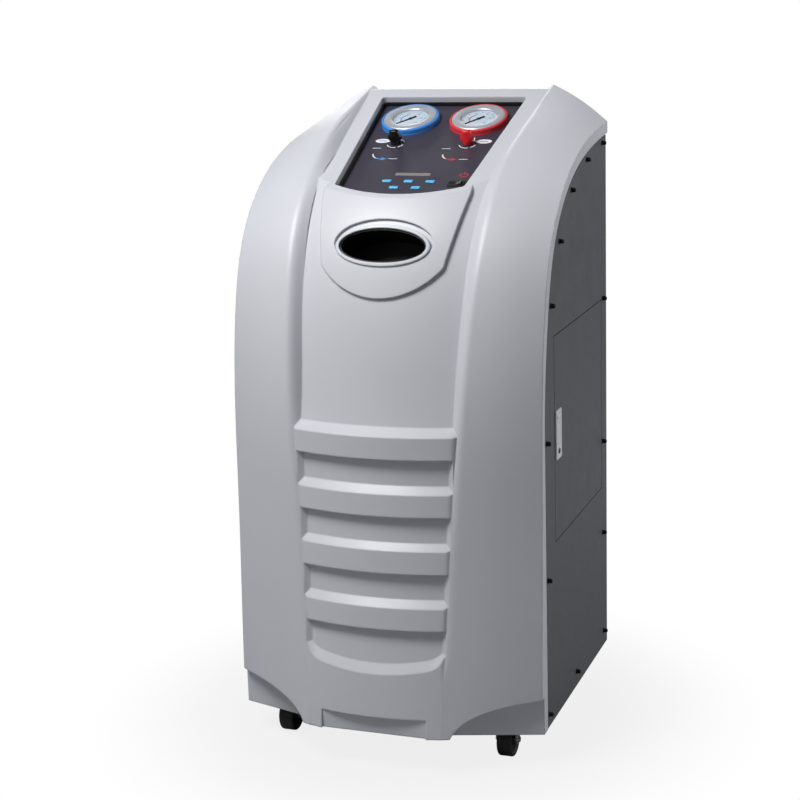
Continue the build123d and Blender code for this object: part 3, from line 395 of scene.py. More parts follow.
def lit_segments(name, code, glow, cell=0.5):
    """Display film: a grid of cells, each cell millimetres wide, with a faint glow of its own."""
    material, tree, output = new_material(name)
    place = add_node(tree, "ShaderNodeTexCoord")
    base = linear(code)
    grid = add_node(tree, "ShaderNodeTexChecker", Vector=(place, "Object"), Scale=1000.0 / cell,
                    Color1=base, Color2=[c * 0.72 for c in base[:3]] + [1])
    shade = add_node(tree, "ShaderNodeBsdfPrincipled", Base_Color=(grid, "Color"), Roughness=0.25,
                     Emission_Color=(grid, "Color"), Emission_Strength=glow)
    tree.links.new(shade.outputs[0], output.inputs[0])
    return material


def finishes():
    """All finishes by name."""
    s = bpy.context.scene.machine_finish
    return {
        # Sprayed over moulded plastic: broad soft highlights, edges that look rounded by the tool
        "abs": surface("ABS, moulded, sprayed silver grey", s.cover, 0.42, grain=0.45, bump=0.18,
                       bump_height=0.03, edge=3.2, mottle=0.012, mottle_size=90, Coat_Weight=0.08,
                       Coat_Roughness=0.35),
        # Baked powder: even and dull, with a very fine orange peel
        "sheet": surface("Sheet steel, charcoal powder coat", s.sheet, 0.46, grain=0.35, bump=0.35,
                         bump_height=0.04, edge=0.5, mottle=0.05, mottle_size=45),
        # Printed film: flat and smooth, with a faint satin sheen
        "overlay": surface("Polyester overlay, screen printed slate", s.overlay, 0.33, grain=0.12,
                           bump=0.12, bump_height=0.02, edge=0.3, mottle=0.02),
        # Spark-eroded mould: dull black with a fine grain
        "black": surface("ABS, moulded black, spark texture", "#0B0B0C", 0.55, grain=0.3, bump=0.3,
                         bump_height=0.04, edge=0.6, mottle=0.05),
        # Moulded rubber: soft broad highlight, almost no grain
        "blue_rubber": surface("Rubber, moulded blue", s.low_side, 0.52, grain=0.35, bump=0.2,
                               bump_height=0.03, edge=0.8, mottle=0.03),
        # The same rubber in red
        "red_rubber": surface("Rubber, moulded red", s.high_side, 0.52, grain=0.35, bump=0.2,
                              bump_height=0.03, edge=0.8, mottle=0.03),
        # Turned and plated: bright, with a soft satin reflection
        "bezel": surface("Steel, turned and satin plated", "#C9CCD1", 0.34, metallic=0.55,
                         grain=0.2, bump=0.1, bump_height=0.01, edge=0.4, mottle=0.02),
        # Printed metal: flat, even white
        "card": surface("Aluminium dial, screen printed white", "#E9EEF3", 0.42, grain=0.2,
                        bump=0.05, bump_height=0.01, edge=0.2, mottle=0.01),
        # Inks: flat and opaque, slightly dull
        "print_black": surface("Screen ink, black", "#1A1B1E", 0.5, grain=0.2, bump=0.05, edge=0.1),
        "print_white": surface("Screen ink, white", "#E4E6EA", 0.5, grain=0.2, bump=0.05, edge=0.1),
        "print_blue": surface("Screen ink, blue", "#4E93D8", 0.5, grain=0.2, bump=0.05, edge=0.1),
        "print_red": surface("Screen ink, red", "#C8323A", 0.5, grain=0.2, bump=0.05, edge=0.1),
        # Clear-coated plastic: a sharp small highlight over even colour
        "key": surface("Polycarbonate key, glossy light blue", s.keys, 0.22, grain=0.2, bump=0.05,
                       edge=0.5, mottle=0.02, Coat_Weight=0.3, Coat_Roughness=0.1),
        # Phenolic from a polished mould: sharp highlights
        "gloss_black": surface("Phenolic knob, moulded black", "#0C0C0D", 0.24, grain=0.4,
                               bump=0.05, edge=0.7, mottle=0.04),
        # The same knob in red
        "gloss_red": surface("Phenolic knob, moulded red", "#D3222A", 0.26, grain=0.4, bump=0.05,
                             edge=0.7, mottle=0.03),
        # Flat glass: clear, with a reflection that grows to the edge
        "lens": clear_material("Glass, flat clear", "#F6F9FB"),
        # Cast and sprayed silver: pale, satin
        "chrome": surface("Zinc die-casting, sprayed silver", "#E4E6E8", 0.34, metallic=0.35,
                          grain=0.15, bump=0.05, bump_height=0.01, edge=0.7, mottle=0.02),
        # Zinc on pressed steel: bright metal with cloudy patches
        "zinc": surface("Pressed steel, bright zinc", "#C3C6C9", 0.3, metallic=1.0, grain=1.2,
                        bump=0.08, bump_height=0.02, edge=0.5, mottle=0.08, mottle_size=12),
        # Cut brass: warm bright metal with fine tool marks
        "brass": surface("Brass, machined", "#C9A45C", 0.28, metallic=1.0, grain=0.3, bump=0.1,
                         bump_height=0.01, edge=0.5, mottle=0.05, mottle_size=15),
        # Tread rubber: dull and slightly dusty
        "tread": surface("Rubber, castor tread", "#141415", 0.62, grain=0.5, bump=0.3,
                         bump_height=0.05, edge=0.6, mottle=0.1, mottle_size=14),
        # Black oxide: dark metal with a thin shine
        "screw": surface("Steel screw, black oxide", "#0E0E0F", 0.36, metallic=0.6, grain=0.3,
                         bump=0.1, edge=0.3, mottle=0.1, mottle_size=5),
        # Enamel over a sand casting: shiny, with the casting's grain under it
        "casting": surface("Aluminium casting, blue-grey enamel", "#5E6E7C", 0.4, grain=1.0,
                           bump=0.35, bump_height=0.08, edge=1.5, mottle=0.05),
        # Enamel over rolled steel: smooth and shiny
        "tank": surface("Steel tank, grey enamel", "#A6AAB0", 0.32, grain=1.5, bump=0.08,
                        bump_height=0.05, edge=1.0, mottle=0.03),
        # Thick black enamel: deep soft reflections
        "shell": surface("Steel shell, black enamel", "#101113", 0.28, grain=1.5, bump=0.1,
                         bump_height=0.05, edge=1.5, mottle=0.05),
        # Rolled aluminium: bright, streaked along the roll
        "aluminium": surface("Aluminium, mill finish", "#C6C9CC", 0.32, metallic=1.0, grain=0.3,
                             bump=0.15, bump_height=0.02, edge=0.3, mottle=0.04,
                             stretch=(1, 1, 0.08)),
        # Hot-dipped zinc: pale grey with spangle
        "galvanised": surface("Sheet steel, zinc spangle", "#AEB3B7", 0.38, metallic=0.9, grain=3.0,
                              bump=0.08, bump_height=0.02, edge=0.4, mottle=0.12, mottle_size=9),
        # Enamel over a small steel shell: smooth and bright
        "orange": surface("Steel shell, orange enamel", "#C8622A", 0.3, grain=1.0, bump=0.1,
                          edge=0.8),
        # Solder mask: glassy green
        "board": surface("Circuit board, green solder mask", "#0F5A32", 0.3, grain=0.8, bump=0.1,
                         edge=0.2),
        # Display film: dim cells under a smooth face
        "display": lit_segments("Liquid crystal film, dim", "#8B8583", 0.12),
        # Moulded nylon: dull black with a soft sheen
        "nylon": surface("Nylon, moulded black", "#0D0D0E", 0.5, grain=0.5, bump=0.2, edge=0.6,
                         mottle=0.05),
        # The same nylon in red
        "pedal": surface("Nylon, moulded red", "#B02024", 0.4, grain=0.5, bump=0.15, edge=0.8),
    }


FINISH = {}


# Settings

class MachineFinish(bpy.types.PropertyGroup):
    """Colours of the machine, as sRGB hex values."""
    cover: bpy.props.StringProperty(name="Cover", description="Colour of the moulded cover",
                                    default="#C6C8CD")
    sheet: bpy.props.StringProperty(name="Sheet metal",
                                    description="Colour of the side and rear panels",
                                    default="#545659")
    overlay: bpy.props.StringProperty(name="Instrument panel",
                                      description="Colour of the instrument panel",
                                      default="#3B3843")
    low_side: bpy.props.StringProperty(name="Low side", description="Colour of the low-side boot",
                                       default="#3C8BDD")
    high_side: bpy.props.StringProperty(name="High side",
                                        description="Colour of the high-side boot",
                                        default="#D8343C")
    keys: bpy.props.StringProperty(name="Keys", description="Colour of the keys", default="#58BDF2")


class MachineShape(bpy.types.PropertyGroup):
    """Sizes of the pieces that are finished here, in millimetres."""
    crest_round: bpy.props.FloatProperty(name="Crest rounding",
                                         description="Width of the rounded crest edge", default=9.0,
                                         min=0.0, max=30.0)
    swell: bpy.props.FloatProperty(name="Pillar swell",
                                   description="How far the pillars bulge between their edges",
                                   default=4.0, min=0.0, max=8.0)
    edge_round: bpy.props.FloatProperty(name="Front rounding", default=7.0, min=1.0, max=10.0,
                                        description="Radius along the sides of the ribbed front")
    screw_radius: bpy.props.FloatProperty(name="Screw head radius",
                                          description="Radius of a panel screw's head", default=4.0,
                                          min=1.0, max=8.0)
    screw_height: bpy.props.FloatProperty(name="Screw head height",
                                          description="Height of a panel screw's head", default=6.4,
                                          min=1.0, max=6.5)
    tick_count: bpy.props.IntProperty(name="Dial ticks", description="Small ticks round each dial",
                                      default=51, min=2, max=200)
    fin_count: bpy.props.IntProperty(name="Condenser fins", description="Fins of the condenser",
                                     default=64, min=2, max=200)


class MachineStage(bpy.types.PropertyGroup):
    """Lamps and floor."""
    key_power: bpy.props.FloatProperty(name="Key lamp", description="Power of the key lamp",
                                       default=40.0, min=0.0, unit="POWER")
    fill_power: bpy.props.FloatProperty(name="Fill lamp", description="Power of the fill lamp",
                                        default=3.0, min=0.0, unit="POWER")
    side_power: bpy.props.FloatProperty(name="Side lamp",
                                        description="Power of the lamp at the right", default=34.0,
                                        min=0.0, unit="POWER")
    rear_power: bpy.props.FloatProperty(name="Rear lamp", description="Power of the lamp behind",
                                        default=26.0, min=0.0, unit="POWER")
    ambient: bpy.props.FloatProperty(name="Ambient",
                                     description="Strength of the light from all sides",
                                     default=0.18, min=0.0)


# Cover

def across(x, lean=0.0):
    """Places (y, z) on a plane across the machine at x, leaning outwards with height."""
    norm = math.hypot(1, lean)
    return lambda y, z: (x + z * lean / norm, y, z / norm)


def inset(points, gap):
    """The side outline moved inwards by gap."""
    moved = []
    for i, (y, z) in enumerate(points):
        a = Vector(points[max(i - 1, 0)])
        b = Vector(points[min(i + 1, len(points) - 1)])
        along = (b - a).normalized()
        moved.append((y + along.y * gap, z - along.x * gap))
    return moved


def shifted(points, step):
    """The side outline moved back by step."""
    return [(y + step, z) for y, z in points]


def outline(points, low, rear, place, count=150):
    """A side outline as a closed loop down to low and back to rear, placed in space."""
    last = (rear, points[-1][1] + (rear - points[-1][0]) * 0.2)
    curve = curve_through([(points[0][0], low)] + points[1:-1] + [last], count)
    return [place(y, z) for y, z in curve + [(rear, low)]]


def between(a, b, t):
    """The loop at a share t of the way from a to b; t may differ from point to point."""
    shares = t if isinstance(t, list) else [t] * len(a)
    return [tuple(np.array(p) * (1 - w) + np.array(q) * w) for p, q, w in zip(a, b, shares)]


def eased(value, low, high):
    """A smooth step from 0 at low to 1 at high."""
    share = min(1.0, max(0.0, (value - low) / (high - low)))
    return share * share * (3 - 2 * share)


def above_apron(z):
    """How far edges are rounded at height z: not along the apron, fully above the lowest recess."""
    return eased(z, 120, 190)


def ahead_of_bar(y):
    """How far the crests are rounded at depth y: less beside the rear bar, to stand above it."""
    return 1 - 0.75 * eased(y, 100, 195)


def bulged(side, crest, share, height):
    """The loop at a share of the way from the side to the crest, swollen outwards."""
    swell = height * math.sin(math.pi * share)
    loop = []
    last = len(side) - 2
    for i, point in enumerate(between(side, crest, share)):
        here = Vector(point)
        if i <= last:
            across_way = Vector(crest[i]) - Vector(side[i])
            along = Vector(side[min(i + 1, last)]) - Vector(side[max(i - 1, 0)])
            out = across_way.cross(along).normalized()
            here += out * (swell if out.y < out.z else -swell)
        loop.append(tuple(here))
    return loop


def pillars(name, gap, crest_round=0.0, swell=0.0):
    """Both pillars, drawn in by gap, with rounded crests and swollen sides."""
    low = COVER_BOTTOM - 6 * gap
    rear = COVER_REAR + 6 * gap
    side = outline(inset(SIDE, gap), low, rear, across(HALF_WIDTH - gap))
    crest = outline(inset(CREST, gap), low, rear, across(CREST_X, CREST_LEAN))
    foot = outline(inset(FOOT, gap), low, rear, across(CREST_FOOT_X, CREST_LEAN))
    shares = np.linspace(0, 1, 19)
    loops = [bulged(side, crest, t, swell) for t in shares[:-1]]
    if crest_round:
        near = 1 - crest_round / ROUNDED_SPAN
        fade = [above_apron(z) * ahead_of_bar(y) for x, y, z in crest]
        a = between(crest, bulged(side, crest, near, swell), fade)
        b = between(crest, foot, [min(0.8, crest_round / 16) * w for w in fade])
        loops = [loop for loop, t in zip(loops, shares) if t < near - 0.02]
        for t in np.linspace(0, 1, 7):
            start, end = between(a, crest, t), between(crest, b, t)
            loops.append(between(start, end, t))
    else:
        loops.append(crest)
    loops += [between(loops[-1], foot, t) for t in (0.33, 0.67, 1)]
    right = skin(name, loops)
    left = skin(name + "_left", [[(-x, y, z) for x, y, z in loop] for loop in loops])
    return carve(right, left, "UNION")


def bowed(name, lower, upper, low, edge_round=0.0):
    """The bowed front; with edge_round it ends at the crests, its side edges rounded off.

    lower and upper are its outlines below and above the ribs' top, low its foot."""
    rise = curve_through([(lower[0][0], low)] + lower[1:], 70)
    top = curve_through(upper, 70)
    side = rise + top + [(0, ABOVE), (BESIDE, ABOVE), (BESIDE, low)]
    loops = []
    if edge_round:
        near = 1 - np.array([0, 0.04, 0.15, 0.35, 0.65, 1]) * edge_round / ROUNDED_SPAN
        shares = np.concatenate([-near, np.linspace(-near[-1], near[-1], 50)[1:-1], near[::-1]])
    else:
        shares = np.linspace(-1, 1, 61)
    for share in shares:
        drop = 0
        if edge_round:
            depth = max(0, edge_round - (1 - abs(share)) * ROUNDED_SPAN)
            drop = edge_round - math.sqrt(edge_round ** 2 - depth ** 2)
        loop = []
        for y, z in side:
            x = share * (CREST_X + CREST_LEAN * z if edge_round else 150)
            loop.append((x, y + x * x / (2 * BOW_RADIUS) + drop * above_apron(z), z))
        loops.append(loop)
    return skin(name, loops)


def under_slope(depth, rise=11.5):
    """Everything below the instruments' slope and the rear bar, which stands rise above its end."""
    drop = depth / math.cos(SLOPE)
    front_z = RECESS_Z + (-BESIDE - RECESS_Y) * math.tan(SLOPE)
    back_y = RECESS_Y + WINDOW_LENGTH * math.cos(SLOPE)
    back_z = RECESS_Z + WINDOW_LENGTH * math.sin(SLOPE)
    side = [(-BESIDE, front_z - drop), (back_y, back_z - drop), (217, back_z + rise - drop),
            (BESIDE, back_z + rise - drop), (BESIDE, BELOW), (-BESIDE, BELOW)]
    return prism("slope", side, lambda y, z, x: (x, y, z), -150, 150)


def between_crests():
    """Everything between the two leaning planes that the crests lie in."""
    low, high = CREST_X + BELOW * CREST_LEAN, CREST_X + ABOVE * CREST_LEAN
    return prism("wedge", [(-low, BELOW), (low, BELOW), (high, ABOVE), (-high, ABOVE)],
                 lambda x, z, y: (x, y, z), -BESIDE, BESIDE)


def seam(grow):
    """What the side panels take from the cover, grown for a gap along their edge."""
    points = inset(SEAM, -grow)
    points[0] = (SEAM[0][0] - grow, SEAM[0][1])
    points[-1] = (252, points[-1][1] + 31 * 0.12)
    curve = curve_through(points, 120, tangents=[(0, 1), (1, 0.12)])
    side = curve + [(252, BELOW), (points[0][0], BELOW)]
    return prism("seam", side, lambda y, z, x: (x, y, z), -235, 235)


def scoop(side, grow):
    """The hollow over a front castor, side -1 or 1, grown for its inner wall."""
    along = Vector((128, 38, 0))
    normal = Vector((along.y, -along.x, 0)).normalized()
    along_unit = along.normalized()
    start = Vector((98, -190, 0)) - normal * grow
    reach = along.length + 30
    arch = curve_through([(-grow, 50 + grow), (8, 64 + grow), (40, 85 + grow), (90, 97 + grow),
                          (reach, 104 + grow)], 40)

    def place(u, v, w):
        p = start + along_unit * u + normal * w + Vector((0, 0, v))
        return (side * p.x, p.y, p.z)
    return prism("scoop", arch + [(reach, -30), (-grow, -30)], place, 0, 90)


def box(x0, x1, y0, y1, z0, z1):
    """A block between two x, two y and two z."""
    return prism("box", [(x0, y0), (x1, y0), (x1, y1), (x0, y1)], lambda x, y, z: (x, y, z), z0, z1)


def ellipse_cutter(wider, taller, lift, low, high):
    """The grip's ellipse run along the direction it faces, grown and lifted."""
    normal = Vector((0, -math.cos(GRIP_TILT), math.sin(GRIP_TILT)))
    up = Vector((0, math.sin(GRIP_TILT), math.cos(GRIP_TILT)))
    ring = [((GRIP_HALF_WIDTH + wider) * math.cos(a),
             lift + (GRIP_HALF_HEIGHT + taller) * math.sin(a))
            for a in np.linspace(0, 2 * math.pi, 97)[:-1]]
    return prism("grip", ring,
                 lambda u, v, w: tuple(GRIP + Vector((u, 0, 0)) + up * v + normal * w), low, high)


def surface_y(z):
    """Depth of the ribs' outline at height z."""
    for (ya, za), (yb, zb) in zip(RIBS, RIBS[1:]):
        if z <= zb:
            return ya + (yb - ya) * (z - za) / (zb - za)
    return RIBS[-1][0]


def recess(low_z, high_z, half, ledge, lift=0.0, turn=0.0):
    """A recess in the ribs, with a sloping ledge at its foot.

    The foot lifts by lift towards the ends, and by turn round the last corner."""
    loops = []
    for x in np.concatenate([[-half, -half + 3, -half + 6], np.linspace(9 - half, half - 9, 60),
                             [half - 6, half - 3, half]]):
        share = abs(x) / half
        corner = max(0, 1 - (half - abs(x)) / 25)
        foot_z = low_z + lift * share ** 2 + turn * corner ** 2
        foot_y, high_y = surface_y(foot_z), surface_y(high_z)
        bow = x * x / (2 * BOW_RADIUS)
        deep = min(POCKET_DEPTH, 1 + half - abs(x))
        rise = ledge * deep / POCKET_DEPTH
        loops.append([(x, foot_y - 20 + bow, foot_z - 2 * ledge),
                      (x, foot_y + deep + bow, foot_z + rise), (x, high_y + deep + bow, high_z),
                      (x, high_y - 20 + bow, high_z)])
    return skin("recess", loops)


def window_block(grow, low, high):
    """The window's outline, grown, run up from the instrument panel."""
    sill = arc_through((-95 - grow, -4 - grow), (0, -29 - grow), (95 + grow, -4 - grow), 31)
    far = WINDOW_LENGTH + grow
    ring = rounded(sill + [(113.5 + grow, far), (-113.5 - grow, far)], 8, 6)
    return prism("window", ring, lambda x, s, h: tuple(panel_point(x, s, h)), low, high)


def shield_prism():
    """The shield's outline seen from the front, run through the machine."""
    low = arc_through((88, 696), (0, 656), (-88, 696), 41)
    ring = rounded(low + [(-110, 800), (110, 800)], 14, 6)
    return prism("shield_front", ring, lambda x, z, y: (x, y, z), -BESIDE, BESIDE)


def front_layer(name, step):
    """The bowed front up to the shield, moved back by step, under the instruments' slope."""
    layer = bowed(name, shifted(RIBS, step), shifted(SHIELD, step), COVER_BOTTOM)
    return carve(layer, under_slope(0), "INTERSECT")


def make_cavity():
    """The room inside the cover; its wall and those of the scoops and the notch stay standing."""
    cavity = bowed("cavity", shifted(RIBS, 15), shifted(MIDDLE, 5), BELOW)
    cavity = carve(cavity, under_slope(RECESS_DEPTH), "INTERSECT")
    cavity = carve(cavity, between_crests(), "INTERSECT")
    # Plastic stays behind the ribs, so that the recesses have closed ends
    backing = box(-118, 118, -400, 400, 140, RIB_TOP)
    backing = carve(backing, bowed("backing", shifted(RIBS, 15), MIDDLE, BELOW), "DIFFERENCE")
    cavity = carve(cavity, pillars("inner", COVER_WALL), "UNION")
    low_x, high_x, low_y, high_y, low_z, high_z = APRON_NOTCH
    notch = box(low_x - COVER_WALL, high_x + COVER_WALL, low_y - COVER_WALL, high_y + COVER_WALL,
                low_z - COVER_WALL, high_z + COVER_WALL)
    for kept in (backing, scoop(-1, COVER_WALL), scoop(1, COVER_WALL), notch):
        cavity = carve(cavity, kept, "DIFFERENCE")
    return cavity


def make_cover():
    """The moulded cover: pillars, bowed middle, shield and grip lip, hollowed and cut out."""
    shape = bpy.context.scene.machine_shape
    middle = bowed("middle", RIBS, MIDDLE, COVER_BOTTOM, shape.edge_round)
    middle = carve(middle, under_slope(0, 10), "INTERSECT")
    shield = carve(front_layer("shield", -4), shield_prism(), "INTERSECT")
    groove = carve(ellipse_cutter(8, 9, 5, -30, 30), ellipse_cutter(5, 5, 0, -40, 40), "DIFFERENCE")
    groove_floor = bowed("groove", shifted(RIBS, 1), shifted(SHIELD, 1), COVER_BOTTOM)
    groove = carve(groove, groove_floor, "DIFFERENCE")
    lip = carve(front_layer("lip", -6.5), ellipse_cutter(5, 5, 0, -30, 30), "INTERSECT")
    cavity = make_cavity()

    cover = pillars("cover", 0, shape.crest_round, shape.swell)
    for part in (middle, shield):
        cover = carve(cover, part, "UNION")
    cover = carve(carve(cover, groove, "DIFFERENCE"), lip, "UNION")
    cuts = [box(-400, 400, COVER_REAR, 500, -100, 1100), cavity, seam(1), scoop(-1, 0), scoop(1, 0),
            box(*APRON_NOTCH), box(-118, 118, -310, -190, 34, APRON_BOTTOM)]
    for index in range(RECESS_COUNT):
        top = RIB_TOP - index * RIB_PITCH
        cuts.append(recess(top - RIB_PITCH, top - RIB_FACE, RECESS_HALF - index * RECESS_TAPER,
                           RIB_LEDGE))
    cuts.append(recess(high_z=RIB_TOP - RECESS_COUNT * RIB_PITCH - RIB_FACE, **LOWEST_RECESS))
    cuts += [window_block(0, -80, 94), ellipse_cutter(0, 0, 0, -45, 45)]
    for cut in cuts:
        cover = carve(cover, cut, "DIFFERENCE")
    tidy(cover.data, 2e-6)
    cover.name = "moulded_cover"
    return cover


# Repeated pieces, grown by geometry trees

def new_tree(name, sockets):
    """A geometry tree with named inputs; returns it with its input node."""
    tree = bpy.data.node_groups.new(name, "GeometryNodeTree")
    tree.interface.new_socket("Geometry", in_out="INPUT", socket_type="NodeSocketGeometry")
    for label, kind in sockets:
        tree.interface.new_socket(label, in_out="INPUT", socket_type="NodeSocket" + kind)
    tree.interface.new_socket("Geometry", in_out="OUTPUT", socket_type="NodeSocketGeometry")
    return tree, tree.nodes.new("NodeGroupInput")


def close_tree(tree, entry, shape):
    """Ends a tree: real instances, then the material."""
    real = add_node(tree, "GeometryNodeRealizeInstances", Geometry=shape)
    painted = add_node(tree, "GeometryNodeSetMaterial", Geometry=(real, 0),
                       Material=(entry, "Material"))
    ending = tree.nodes.new("NodeGroupOutput")
    tree.links.new(painted.outputs[0], ending.inputs[0])
    return tree


def grow(obj, tree, values):
    """Runs a tree on an object with the given inputs and keeps the result."""
    modifier = obj.modifiers.new("grow", "NODES")
    modifier.node_group = tree
    for item in tree.interface.items_tree:
        if item.in_out == "INPUT" and item.name in values:
            modifier[item.identifier] = values[item.name]
    return baked(obj)


def times(tree, value, factor):
    """A tree's value multiplied by a factor."""
    return (add_node(tree, "ShaderNodeMath", {"operation": "MULTIPLY"}, i0=value, i1=factor), 0)


def lifted(tree, shape, height):
    """A tree's shape raised along Z."""
    offset = add_node(tree, "ShaderNodeCombineXYZ", Z=height)
    return (add_node(tree, "GeometryNodeTransform", Geometry=shape, Translation=(offset, 0)), 0)


def screw_tree():
    """A flanged hexagon screw on every point, its axis along X away from the middle."""
    tree, entry = new_tree("Screws on points", [("Material", "Material"), ("Radius", "Float"),
                                                ("Height", "Float"), ("Seed", "Int")])
    radius, height = (entry, "Radius"), (entry, "Height")
    washer = add_node(tree, "GeometryNodeMeshCone", Vertices=32,
                      Radius_Top=times(tree, radius, 0.84), Radius_Bottom=radius,
                      Depth=times(tree, height, 0.26))
    head = add_node(tree, "GeometryNodeMeshCone", Vertices=6, Radius_Top=times(tree, radius, 0.8),
                    Radius_Bottom=times(tree, radius, 0.84), Depth=times(tree, height, 0.64))
    crown = add_node(tree, "GeometryNodeMeshCone", Vertices=24, Radius_Top=times(tree, radius, 0.5),
                     Radius_Bottom=times(tree, radius, 0.68), Depth=times(tree, height, 0.12))
    parts = [(washer, 0), lifted(tree, (head, 0), times(tree, height, 0.25)),
             lifted(tree, (crown, 0), times(tree, height, 0.88))]
    screw = tree.nodes.new("GeometryNodeJoinGeometry")
    for part in parts:
        tree.links.new(part[0].outputs[part[1]], screw.inputs[0])
    spot = tree.nodes.new("GeometryNodeInputPosition")
    apart = add_node(tree, "ShaderNodeSeparateXYZ", Vector=(spot, 0))
    side = add_node(tree, "ShaderNodeMath", {"operation": "SIGN"}, i0=(apart, "X"))
    out = add_node(tree, "ShaderNodeCombineXYZ", X=(side, 0))
    facing = add_node(tree, "FunctionNodeAlignRotationToVector", {"axis": "Z"}, Vector=(out, 0))
    chance = add_node(tree, "FunctionNodeRandomValue", {"data_type": "FLOAT"}, Seed=(entry, "Seed"))
    chance.inputs[3].default_value = math.pi / 3
    spin = add_node(tree, "FunctionNodeAxisAngleToRotation", Axis=(0, 0, 1), Angle=(chance, 1))
    turned = add_node(tree, "FunctionNodeRotateRotation", {"rotation_space": "LOCAL"},
                      i0=(facing, 0), i1=(spin, 0))
    placed = add_node(tree, "GeometryNodeInstanceOnPoints", Points=(entry, "Geometry"),
                      Instance=(screw, 0), Rotation=(turned, 0))
    return close_tree(tree, entry, (placed, 0))


def tick_tree():
    """Ticks round a dial; every fifth one is longer."""
    tree, entry = new_tree("Dial ticks",
                           [("Material", "Material"), ("Count", "Int"), ("Radius", "Float"),
                            ("Length", "Float"), ("Width", "Float"), ("Sweep", "Float"),
                            ("Start", "Float")])
    ring = add_node(tree, "GeometryNodeCurveArc", {"mode": "RADIUS"}, Resolution=(entry, "Count"),
                    Radius=(entry, "Radius"), Start_Angle=(entry, "Start"),
                    Sweep_Angle=(entry, "Sweep"))
    size = add_node(tree, "ShaderNodeCombineXYZ", X=(entry, "Length"), Y=(entry, "Width"),
                    Z=times(tree, (entry, "Width"), 0.25))
    tick = add_node(tree, "GeometryNodeMeshCube", Size=(size, 0))
    half = times(tree, (entry, "Length"), -0.5)
    back = add_node(tree, "ShaderNodeCombineXYZ", X=half)
    inward = add_node(tree, "GeometryNodeTransform", Geometry=(tick, 0), Translation=(back, 0))
    spot = tree.nodes.new("GeometryNodeInputPosition")
    facing = add_node(tree, "FunctionNodeAlignRotationToVector", {"axis": "X", "pivot_axis": "Z"},
                      Vector=(spot, 0))
    number = tree.nodes.new("GeometryNodeInputIndex")
    rest = add_node(tree, "ShaderNodeMath", {"operation": "MODULO"}, i0=(number, 0), i1=5.0)
    fifth = add_node(tree, "ShaderNodeMath", {"operation": "LESS_THAN"}, i0=(rest, 0), i1=0.5)
    longer = add_node(tree, "ShaderNodeMath", {"operation": "ADD"}, i0=(fifth, 0), i1=1.0)
    scale = add_node(tree, "ShaderNodeCombineXYZ", X=(longer, 0), Y=(longer, 0), Z=1.0)
    placed = add_node(tree, "GeometryNodeInstanceOnPoints", Points=(ring, 0), Instance=(inward, 0),
                      Rotation=(facing, 0), Scale=(scale, 0))
    return close_tree(tree, entry, (placed, 0))


def row_tree():
    """Thin plates in a row along X."""
    tree, entry = new_tree("Row of plates",
                           [("Material", "Material"), ("Count", "Int"), ("Pitch", "Float"),
                            ("Size", "Vector"), ("First", "Vector")])
    step = add_node(tree, "ShaderNodeCombineXYZ", X=(entry, "Pitch"))
    row = add_node(tree, "GeometryNodeMeshLine", {"mode": "OFFSET"}, Count=(entry, "Count"),
                   Start_Location=(entry, "First"), Offset=(step, 0))
    plate = add_node(tree, "GeometryNodeMeshCube", Size=(entry, "Size"))
    placed = add_node(tree, "GeometryNodeInstanceOnPoints", Points=(row, 0), Instance=(plate, 0))
    joined = tree.nodes.new("GeometryNodeJoinGeometry")
    tree.links.new(placed.outputs[0], joined.inputs[0])
    tree.links.new(entry.outputs["Geometry"], joined.inputs[0])
    return close_tree(tree, entry, (joined, 0))


def wheel_tree():
    """Copies of the given shape turned about Y, with the hub added once."""
    tree, entry = new_tree("Copies about an axis", [("Material", "Material"), ("Count", "Int"),
                                                    ("Centre", "Vector"), ("Hub", "Object")])
    row = add_node(tree, "GeometryNodeMeshLine", {"mode": "OFFSET"}, Count=(entry, "Count"),
                   Start_Location=(entry, "Centre"), Offset=(0, 0, 0))
    number = tree.nodes.new("GeometryNodeInputIndex")
    share = add_node(tree, "ShaderNodeMath", {"operation": "DIVIDE"}, i0=(number, 0),
                     i1=(entry, "Count"))
    angle = add_node(tree, "ShaderNodeMath", {"operation": "MULTIPLY"}, i0=(share, 0),
                     i1=2 * math.pi)
    turn = add_node(tree, "FunctionNodeAxisAngleToRotation", Axis=(0, 1, 0), Angle=(angle, 0))
    placed = add_node(tree, "GeometryNodeInstanceOnPoints", Points=(row, 0),
                      Instance=(entry, "Geometry"), Rotation=(turn, 0))
    hub = add_node(tree, "GeometryNodeObjectInfo", Object=(entry, "Hub"))
    joined = tree.nodes.new("GeometryNodeJoinGeometry")
    tree.links.new(placed.outputs[0], joined.inputs[0])
    tree.links.new(hub.outputs["Geometry"], joined.inputs[0])
    return close_tree(tree, entry, (joined, 0))


def joined(name, pieces):
    """One mesh object from several, which are used up."""
    shape = bmesh.new()
    for piece in pieces:
        shape.from_mesh(piece.data)
        bpy.data.objects.remove(piece)
    mesh = bpy.data.meshes.new(name)
    shape.to_mesh(mesh)
    shape.free()
    return link(mesh, name)


class MACHINE_OT_cover(bpy.types.Operator):
    """Moulded front cover, joined and cut as its tool would leave it"""
    bl_idname = "machine.cover"
    bl_label = "Cover"

    def execute(self, context):
        cover = make_cover()
        if len(cover.data.polygons) < 1000:
            raise RuntimeError("the cover lost its faces")
        finish(cover, FINISH["abs"], replaces=["front_cover"], angle=24,
               weighted=True)
        return {"FINISHED"}


# Instruments

# Places on the instrument panel, either side of its middle and up its slope
GAUGE_X, GAUGE_S = 53.0, 214.0
KNOB_X, KNOB_S = 55.0, 146.0
OVAL_X, OVAL_S = 77.5, 153.8

